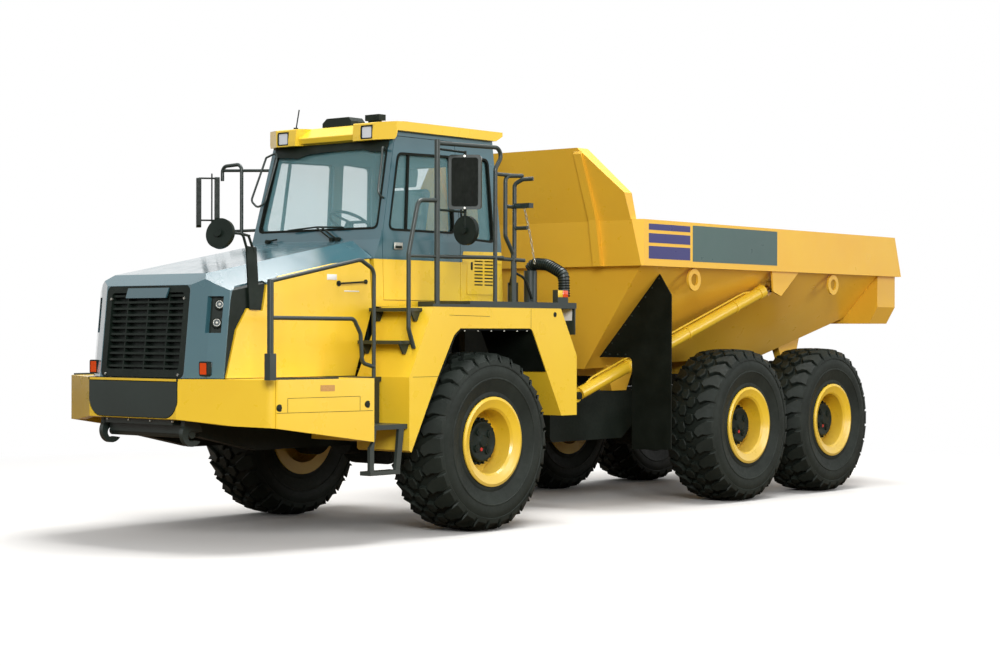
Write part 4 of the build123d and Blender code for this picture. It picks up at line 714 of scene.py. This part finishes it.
def make_window_seals():
    """Rubber seals round all the panes."""
    finished("door_seal", side_seal(SIDE_WINDOW), "sheet", "cab_door")
    finished("right_seal", moved(side_seal(SIDE_WINDOW), flip=-1), "sheet")
    paired("rear_side_seal", side_seal(REAR_SIDE_WINDOW), "sheet")
    bm = bmesh.new()
    rim(bm, grown(WINDSCREEN, SEAL_OUT), grown(WINDSCREEN, SEAL_IN), -0.036, 0.004, "X")
    finished("windscreen_seal", on_screen(bm), "sheet")
    bm = bmesh.new()
    rim(bm, grown(REAR_WINDOW, 0.020), grown(REAR_WINDOW, SEAL_IN), 0.0, 0.036, "X")
    for v in bm.verts:
        v.co.x += CAB_BACK_X + CAB_BACK_LEAN * (v.co.z - CAB_BACK_Z) - 0.004
    finished("rear_window_seal", bm, "sheet")


def make_screen_gear():
    """Dark band under the visor, standing for the tint band and seal with the visor's shadow
    painted in, two wipers, a washer jet and the pillars' grab loops.
    """
    bm = bmesh.new()
    # dark band: the windscreen's tint band and black seal, and also painted shadow cast by the
    # visor onto the frame above the screen
    shade = [(-0.715, 3.452), (-0.715, 3.385), (-0.66, 3.358, 0.02), (-0.40, 3.342, 0.03),
             (-0.27, 3.372, 0.03), (0.10, 3.386, 0.05), (0.42, 3.384, 0.03), (0.52, 3.356, 0.02),
             (0.64, 3.352, 0.02), (0.715, 3.385), (0.715, 3.452)]
    prism(bm, shade, 0.001, 0.008, "X")
    finished("visor_tint_band_and_painted_shadow", on_screen(bm), "plastic")
    arms = (((0.792, -0.31, 2.668), (0.782, 0.05, 2.690), (0.786, 0.38, 2.676)),
            ((0.800, 0.24, 2.575), (0.800, 0.05, 2.690)),
            ((0.800, 0.31, 2.575), (0.804, 0.12, 2.688)),
            ((0.800, -0.58, 2.575), (0.798, -0.45, 2.590)))
    wipers = pipes([[(ahead(x), y, z) for x, y, z in arm] for arm in arms], 0.008, 0.02)
    for y in (0.24, 0.31, -0.58):
        knob(wipers, (ahead(0.755), y, 2.572), 0.020, 0.050, "X")
    finished("wipers", wipers, "plastic")
    loop = ((-0.745, 3.36), (-0.62, 3.40), (-0.60, 3.345), (-0.655, 2.925), (-0.745, 2.895),
            (-0.842, 2.960))
    far = [(ahead(0.60 - 0.245 * (z - 3.36) + 0.05), y, z) for y, z in loop]
    near = [(ahead(x), y, z) for x, y, z in (
        (0.585, 0.702, 3.36), (0.650, 0.722, 3.385), (0.668, 0.735, 3.30), (0.745, 0.760, 2.99),
        (0.735, 0.768, 2.945), (0.668, 0.760, 2.925))]
    finished("pillar_grab_rails", pipes([far + [far[0]], near], 0.010, 0.035), "dark")


def make_cab_side():
    """Door handle, raised top of the rear panel, and the louvred panel with its slots."""
    bm = bmesh.new()
    block(bm, (ahead(0.492), 0.006, 2.478), (ahead(0.602), 0.014, 2.540), 0.003)
    finished("door_handle_plate", on_cab_side(bm), "bolt", "cab_door")
    bm = bmesh.new()
    block(bm, (ahead(0.505), 0.012, 2.488), (ahead(0.590), 0.018, 2.512), 0.002)
    finished("door_handle", on_cab_side(bm), "plastic", "cab_door")
    bm = bmesh.new()
    prism(bm, [(ahead(-0.326), 2.386), (ahead(-0.336), 2.490, 0.02), (ahead(-0.886), 2.497, 0.02),
               (ahead(-0.892), 2.386)], -0.006, 0.0015)
    paired("rear_panel_top", on_cab_side(bm), "yellow")
    bm = bmesh.new()
    prism(bm, rectangle(ahead(-0.795), 2.100, ahead(-0.395), 2.448, 0.02),
          LOWER_SIDE_Y - 0.005, LOWER_SIDE_Y)
    paired("louvre_panel", bm, "yellow")
    slots = bmesh.new()
    for low, high in LOUVRE_COLUMNS:
        for row in range(LOUVRE_ROWS):
            z = LOUVRE_FOOT + row * LOUVRE_STEP
            top = z + LOUVRE_HEIGHT
            prism(slots, [(ahead(low), z), (ahead(low), top), (ahead(high), top), (ahead(high), z)],
                  LOWER_SIDE_Y - 0.004, LOWER_SIDE_Y + 0.001)
    block(slots, (ahead(-0.473), LOWER_SIDE_Y - 0.004, 2.323),
          (ahead(-0.444), LOWER_SIDE_Y + 0.0035, 2.396), 0.004)
    paired("louvre_slots", slots, "plastic")


# ---- hood, grille and bumper -------------------------------------------------------
def make_hood_trim():
    """Blank plates, bar handles and latches on the side covers."""
    for name, low, high in (("cover_plate", (1.309, 2.195), (1.426, 2.243)),
                            ("cover_latch", (1.033, 2.098), (1.218, 2.108))):
        bm = bmesh.new()
        block(bm, (ahead(low[0]), HOOD_SIDE_Y - 0.004, low[1]),
              (ahead(high[0]), HOOD_SIDE_Y + 0.003, high[1]), 0.002)
        paired(name, bm, "white")
    inside, outside = HOOD_SIDE_Y - 0.01, HOOD_SIDE_Y + 0.026
    rear, front = (ahead(0.955), 2.187, 0.020), (ahead(1.287), 2.166, 0.024)
    route = [(rear[0], inside, rear[1]), (rear[0], outside, rear[1]),
             (front[0], outside, front[1]), (front[0], inside, front[1])]
    bars = pipes([route], 0.008, 0.02)
    for x, z, radius in (front, rear):
        knob(bars, (x, HOOD_SIDE_Y - 0.004, z), radius, 0.012)
    paired("cover_handles", bars, "plastic")


HEADLAMPS = ((0.736, 1.975), (0.727, 1.828))
LAMP_RING = [(0.031, 0.001), (0.034, 0.007), (0.040, 0.007), (0.042, -0.008), (0.031, -0.008)]
LAMP_BULB = [(0.0, 0.003), (0.009, 0.0025), (0.012, 0.0), (0.012, -0.004), (0.0, -0.004)]
LAMP_HALO = [(0.026, 0.0015), (0.030, 0.0015), (0.030, -0.003), (0.026, -0.003)]


def make_nose_trim():
    """Bolts of the grille and bumper, blank badge, and the dark sill."""
    bolts = bmesh.new()
    for y, z in ((0.455, 2.024), (0.452, 1.405)):
        x = ahead(2.765 - NOSE_LEAN * (z - 1.375))
        knob(bolts, (x - 0.008, y, z), 0.013, 0.016, "X", 12, 0.010)
    mirrored(bolts)
    for y in (-0.39, -0.12, 0.15, 0.42):
        knob(bolts, (ahead(2.786), y, 1.030), 0.011, 0.012, "X", 12, 0.008)
    finished("nose_bolts", bolts, "bolt")
    badge = bmesh.new()
    prism(badge, [(-0.262, 2.030), (0.236, 2.030), (0.270, 2.112), (-0.240, 2.112)],
          ahead(2.690), ahead(2.705), "X")
    for v in badge.verts:
        v.co.x -= NOSE_LEAN * (v.co.z - 2.07)
    finished("grille_badge", badge, "slate")
    sill = bmesh.new()
    block(sill, (ahead(2.700), -0.556, 1.356), (ahead(2.8595), 0.556, 1.3785), 0.002)
    finished("bumper_sill", sill, "plastic")


def make_lamp_trim():
    """Rings and bulbs of the headlamps, amber lenses, and frames of the roof lamps."""
    rings, bulbs = bmesh.new(), bmesh.new()
    for y, z in HEADLAMPS:
        place, facing = face_ahead("front_lamps", y, z, 0.035)
        lathe_at(rings, LAMP_RING, place, along=facing)
        lathe_at(bulbs, LAMP_BULB, place + facing * 0.001, closed=False, along=facing)
        lathe_at(bulbs, LAMP_HALO, place + facing * 0.001, along=facing)
    paired("lamp_rings", rings, "plastic")
    paired("lamp_bulbs", bulbs, "bolt")
    lens, surround, frames = bmesh.new(), bmesh.new(), bmesh.new()
    window = rectangle(0.648, 1.412, 0.724, 1.504, 0.006)
    prism(lens, window, ahead(2.690), ahead(2.7045), "X")
    rim(surround, grown(window, 0.012), grown(window, -0.001), ahead(2.660), ahead(2.7035), "X")
    paired("indicator_lens", lens, "amber")
    pane = rectangle(0.466, 3.470, 0.588, 3.570, 0.014)
    rim(frames, grown(pane, 0.010), pane, ahead(0.638), ahead(0.650), "X")
    paired("roof_lamp_frames", frames, "plastic")
    paired("indicator_surround", surround, "plastic")


BOX_PLUG = [(0.0, 0.007), (0.020, 0.006), (0.024, 0.003), (0.029, 0.004), (0.031, -0.006),
            (0.0, -0.006)]
BOX_TEETH, TOOTH_STEP, TOOTH_FOOT, TOOTH_TOP = 24, 0.025, 1.374, 1.390
BOX_SEAMS = (((2.452, 1.110), (1.532, 1.110)), ((2.350, 1.226), (1.660, 1.230)),
             ((2.350, 1.226), (2.350, 1.114)), ((1.660, 1.230), (1.660, 1.114)))


def make_box_trim():
    """Plugs, seams, blank plate and the toothed edge of the side boxes."""
    plugs, seams, plate, teeth = (bmesh.new() for _ in range(4))
    for x, z in ((ahead(2.424), 1.151), (ahead(1.583), 1.163)):
        lathe_at(plugs, BOX_PLUG, (x, box_side_y(x), z), closed=False, steps=28)
    for start, end in BOX_SEAMS:
        on_box_side(prism(seams, seam_line(start, end, 0.0018), -0.003, 0.0008))
    corners = [(ahead(1.906), 1.276), (ahead(1.906), 1.326), (ahead(2.043), 1.326),
               (ahead(2.043), 1.276)]
    on_box_side(prism(plate, corners, -0.002, 0.0012))
    for i in range(BOX_TEETH):
        x = ahead(1.860 + i * TOOTH_STEP)
        tooth = [(x, TOOTH_FOOT), (x + 0.006, TOOTH_TOP), (x + 0.012, TOOTH_TOP),
                 (x + 0.018, TOOTH_FOOT)]
        prism(teeth, tooth, box_side_y(x) - 0.030, box_side_y(x) - 0.006)
    paired("box_plugs", plugs, "plastic")
    paired("box_seams", seams, "sheet")
    paired("box_plate", plate, "bronze")
    paired("box_teeth", teeth, "dark")


# ---- fenders and deck --------------------------------------------------------------
ARCH = ((0.990, 0.900), (0.716, 1.370), (0.510, 1.722), (0.430, 1.782), (-0.548, 1.782),
        (-0.760, 1.400))
ARCH_INSIDE = ((0.975, 0.900), (0.703, 1.363), (0.500, 1.712), (0.424, 1.771),
               (-0.541, 1.771), (-0.748, 1.395))
FENDER_SEAMS = (((-0.531, 1.962), (-0.531, 1.790)), ((1.050, 1.376), (0.735, 1.376)),
                ((0.585, 1.900), (0.044, 1.892)))
FENDER_PLUG = [(0.0, 0.004), (0.022, 0.003), (0.026, -0.004), (0.0, -0.004)]


def make_fender_trim():
    """Black arch lining with its bolts, panel seams and the rear plug."""
    liner, bolts, seams, plug = (bmesh.new() for _ in range(4))
    prism(liner, [(ahead(x), z) for x, z in ARCH + ARCH_INSIDE[::-1]], 0.848, 1.442)
    paired("arch_liner", liner, "sheet")
    for x in (0.36, 0.18, 0.0, -0.18, -0.36, -0.50):
        knob(bolts, (ahead(x), 1.425, 1.769), 0.009, -0.008, "Z", 10)
    paired("arch_bolts", bolts, "bolt")
    for start, end in FENDER_SEAMS:
        prism(seams, seam_line(start, end, 0.0016), OUTER_FACE_Y - 0.003, OUTER_FACE_Y + 0.0008)
    paired("fender_seams", seams, "sheet")
    lathe_at(plug, FENDER_PLUG, (ahead(-0.880), OUTER_FACE_Y, 1.915), closed=False, steps=24)
    paired("fender_plugs", plug, "plastic")


DUCT = [(ahead(-1.15), y, z) for y, z in (
    (0.945, 2.350), (0.985, 2.395), (1.150, 2.385), (1.340, 2.290), (1.345, 2.085))]
DUCT_RIB = [(0.049, -0.007), (0.056, -0.004), (0.056, 0.004), (0.049, 0.007)]
RIB_STEP = 0.024
CHAIN = [Vector((ahead(x), 1.33, z))
         for x, z in ((-0.583, 2.870), (-0.656, 2.664), (-0.730, 2.394))]
LINKS = 13
LINK_HALF_LONG, LINK_HALF_WIDE = 0.02295, 0.010


def make_duct_ribs():
    """Ribs at an even step along the arched duct."""
    route = bent(DUCT, 0.055, 12)
    ribs, carried = bmesh.new(), 0.0
    for start, end in zip(route, route[1:]):
        length = (end - start).length
        while carried < length:
            lathe_at(ribs, DUCT_RIB, start.lerp(end, carried / length), along=end - start, steps=28)
            carried += RIB_STEP
        carried -= length
    finished("duct_ribs", ribs, "sheet")


def make_deck_trim():
    """Marker lamp behind the cab, and end panels with blank plates."""
    marker_low, marker_high = (1.342, 2.075), (1.4025, 2.139)
    for name, x_low, x_high, material in (("marker_lens", -1.139, -1.060, "amber"),
                                          ("marker_block", -1.058, -0.986, "yellow")):
        bm = bmesh.new()
        block(bm, (ahead(x_low), *marker_low), (ahead(x_high), *marker_high), 0.004)
        finished(name, bm, material)
    plate, panel = bmesh.new(), bmesh.new()
    block(plate, (ahead(-1.2005), 1.280, 1.862), (ahead(-1.1975), 1.400, 1.968))
    paired("deck_plate", plate, "white")
    block(panel, (ahead(-1.2145), 1.240, 1.730), (ahead(-1.2000), 1.430, 2.010), 0.002)
    paired("deck_end_panel", panel, "dark")


def make_deck_chain():
    """Chain of links, every other one turned, from the rail down to the deck."""
    links = []
    for i in range(LINKS):
        t = i / (LINKS - 1) * 2
        a, b = CHAIN[:2] if t <= 1 else CHAIN[1:]
        centre = a.lerp(b, t if t <= 1 else t - 1)
        along = (b - a).normalized()
        across = along.cross(Vector((0, 1, 0))).normalized() if i % 2 else Vector((0, 1, 0))
        links.append([centre + along * cos(k * pi / 4) * LINK_HALF_LONG
                      + across * sin(k * pi / 4) * LINK_HALF_WIDE for k in range(9)])
    finished("deck_chain", pipes(links, 0.0035, 0.002, 1), "bolt")


def make_deck_hose():
    """Small hose from the cab's back down to the deck."""
    hose = [(ahead(-1.02), 0.80, 2.20), (ahead(-0.99), 0.86, 2.32), (ahead(-1.02), 0.98, 2.26),
            (ahead(-1.04), 1.05, 2.06)]
    finished("deck_hoses", pipes([hose], 0.012, 0.05), "sheet")


MIRROR_CENTRE = Vector((ahead(0.278), 1.360, 3.060))
MIRROR_TURN = Matrix.Rotation(radians(35), 3, "Z")
MIRROR_HALF_WIDTH, MIRROR_HALF_HEIGHT = 0.142, 0.238
MIRROR_RIBS = (-0.085, -0.015, 0.055, 0.100)


def make_mirror_trim():
    """Border, ribbed back and bolts of the left flat mirror."""
    border, back, bolts = (bmesh.new() for _ in range(3))
    edge = rectangle(-MIRROR_HALF_WIDTH, -MIRROR_HALF_HEIGHT, MIRROR_HALF_WIDTH,
                     MIRROR_HALF_HEIGHT, 0.03)
    rim(border, edge, grown(edge, -0.024), 0.020, 0.0335, "X")
    prism(back, grown(edge, -0.028), 0.028, 0.0320, "X")
    for y in MIRROR_RIBS:
        prism(back, [(y, -0.19), (y + 0.010, -0.19), (y + 0.010, 0.19), (y, 0.19)],
              0.031, 0.0355, "X")
    for z in (-0.226, 0.226):
        knob(bolts, (0.033, 0, z), 0.010, 0.008, "X", 10)
    for name, bm, material in (("mirror_border", border, "dark"), ("mirror_back", back, "sheet"),
                               ("mirror_bolts", bolts, "bolt")):
        bmesh.ops.rotate(bm, cent=(0, 0, 0), matrix=MIRROR_TURN, verts=bm.verts)
        finished(name, moved(bm, MIRROR_CENTRE), material)


# ---- body --------------------------------------------------------------------------
STRIPES = ((2.750, 2.810), (2.625, 2.717), (2.470, 2.593))
PANEL = ((2.460, 2.820),)
BODY_FOOT_Y, BODY_FOOT_Z, BODY_SIDE_SLOPE = 0.459, 1.38, 0.891
FLAP_BOLTS, FLAP_BOLT_FOOT, FLAP_BOLT_STEP = 9, 1.55, 0.092
HOIST_FOOT = Vector((ahead(-2.100), 0.750, 1.130))
HOIST_HEAD = Vector((ahead(-4.760), 1.330, 2.245))
PIPE_RUN = ((0.06, 0.060), (0.09, 0.084), (0.86, 0.084), (0.89, 0.060))     # share, distance off
PIPE_CLIP = [(0.062, -0.012), (0.070, -0.012), (0.070, 0.012), (0.062, 0.012)]


def make_body_marks():
    """Blue stripes and the plain green panel on the body's rails."""
    for name, material, rows, low, high in (("body_stripes", "stripe", STRIPES, -3.060, -2.350),
                                            ("body_panel", "panel", PANEL, -4.690, -3.105)):
        bm = bmesh.new()
        for z_low, z_high in rows:
            block(bm, (ahead(low), OUTER_FACE_Y - 0.003, z_low),
                  (ahead(high), OUTER_FACE_Y + 0.0012, z_high))
        paired(name, bm, material, "dump_body")


def make_flap_trim():
    """Bolts along the mud flaps' sloping edge and across their step."""
    bolts = bmesh.new()
    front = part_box("mud_flaps")[1][0] - 0.002
    slope = [FLAP_BOLT_FOOT + i * FLAP_BOLT_STEP for i in range(FLAP_BOLTS)]
    places = [(BODY_FOOT_Y + BODY_SIDE_SLOPE * (z - BODY_FOOT_Z) + 0.040, z) for z in slope]
    for y, z in places + [(0.70, 1.530), (0.80, 1.530), (0.90, 1.530)]:
        knob(bolts, (front, y, z), 0.011, 0.010, "X", 8, 0.008)
    paired("flap_bolts", bolts, "dark", "dump_body")


def make_hoist_trim():
    """Oil pipe clipped along each hoist barrel."""
    run = HOIST_HEAD - HOIST_FOOT
    line = run.normalized()
    lift = (Vector((0, 0, 1)) - line * line.z).normalized()
    clips = pipes([[HOIST_FOOT + run * t + lift * off for t, off in PIPE_RUN]], 0.010, 0.03)
    for t in (0.25, 0.55, 0.80):
        lathe_at(clips, PIPE_CLIP, HOIST_FOOT + run * t, along=line)
    both_sides("hoist_pipe", clips, "yellow", "hoist_barrel_{side}")


for make in (set_camera, make_floor, make_surroundings, make_lamps, dress_nodes, make_tyres,
             make_window_seals, make_screen_gear, make_cab_side, make_hood_trim, make_nose_trim,
             make_lamp_trim, make_box_trim, make_fender_trim, make_duct_ribs, make_deck_trim,
             make_deck_chain, make_deck_hose, make_mirror_trim, make_body_marks, make_flap_trim,
             make_hoist_trim):
    make()

# ---- finish ------------------------------------------------------------------------
scene.view_settings.view_transform = "Standard"
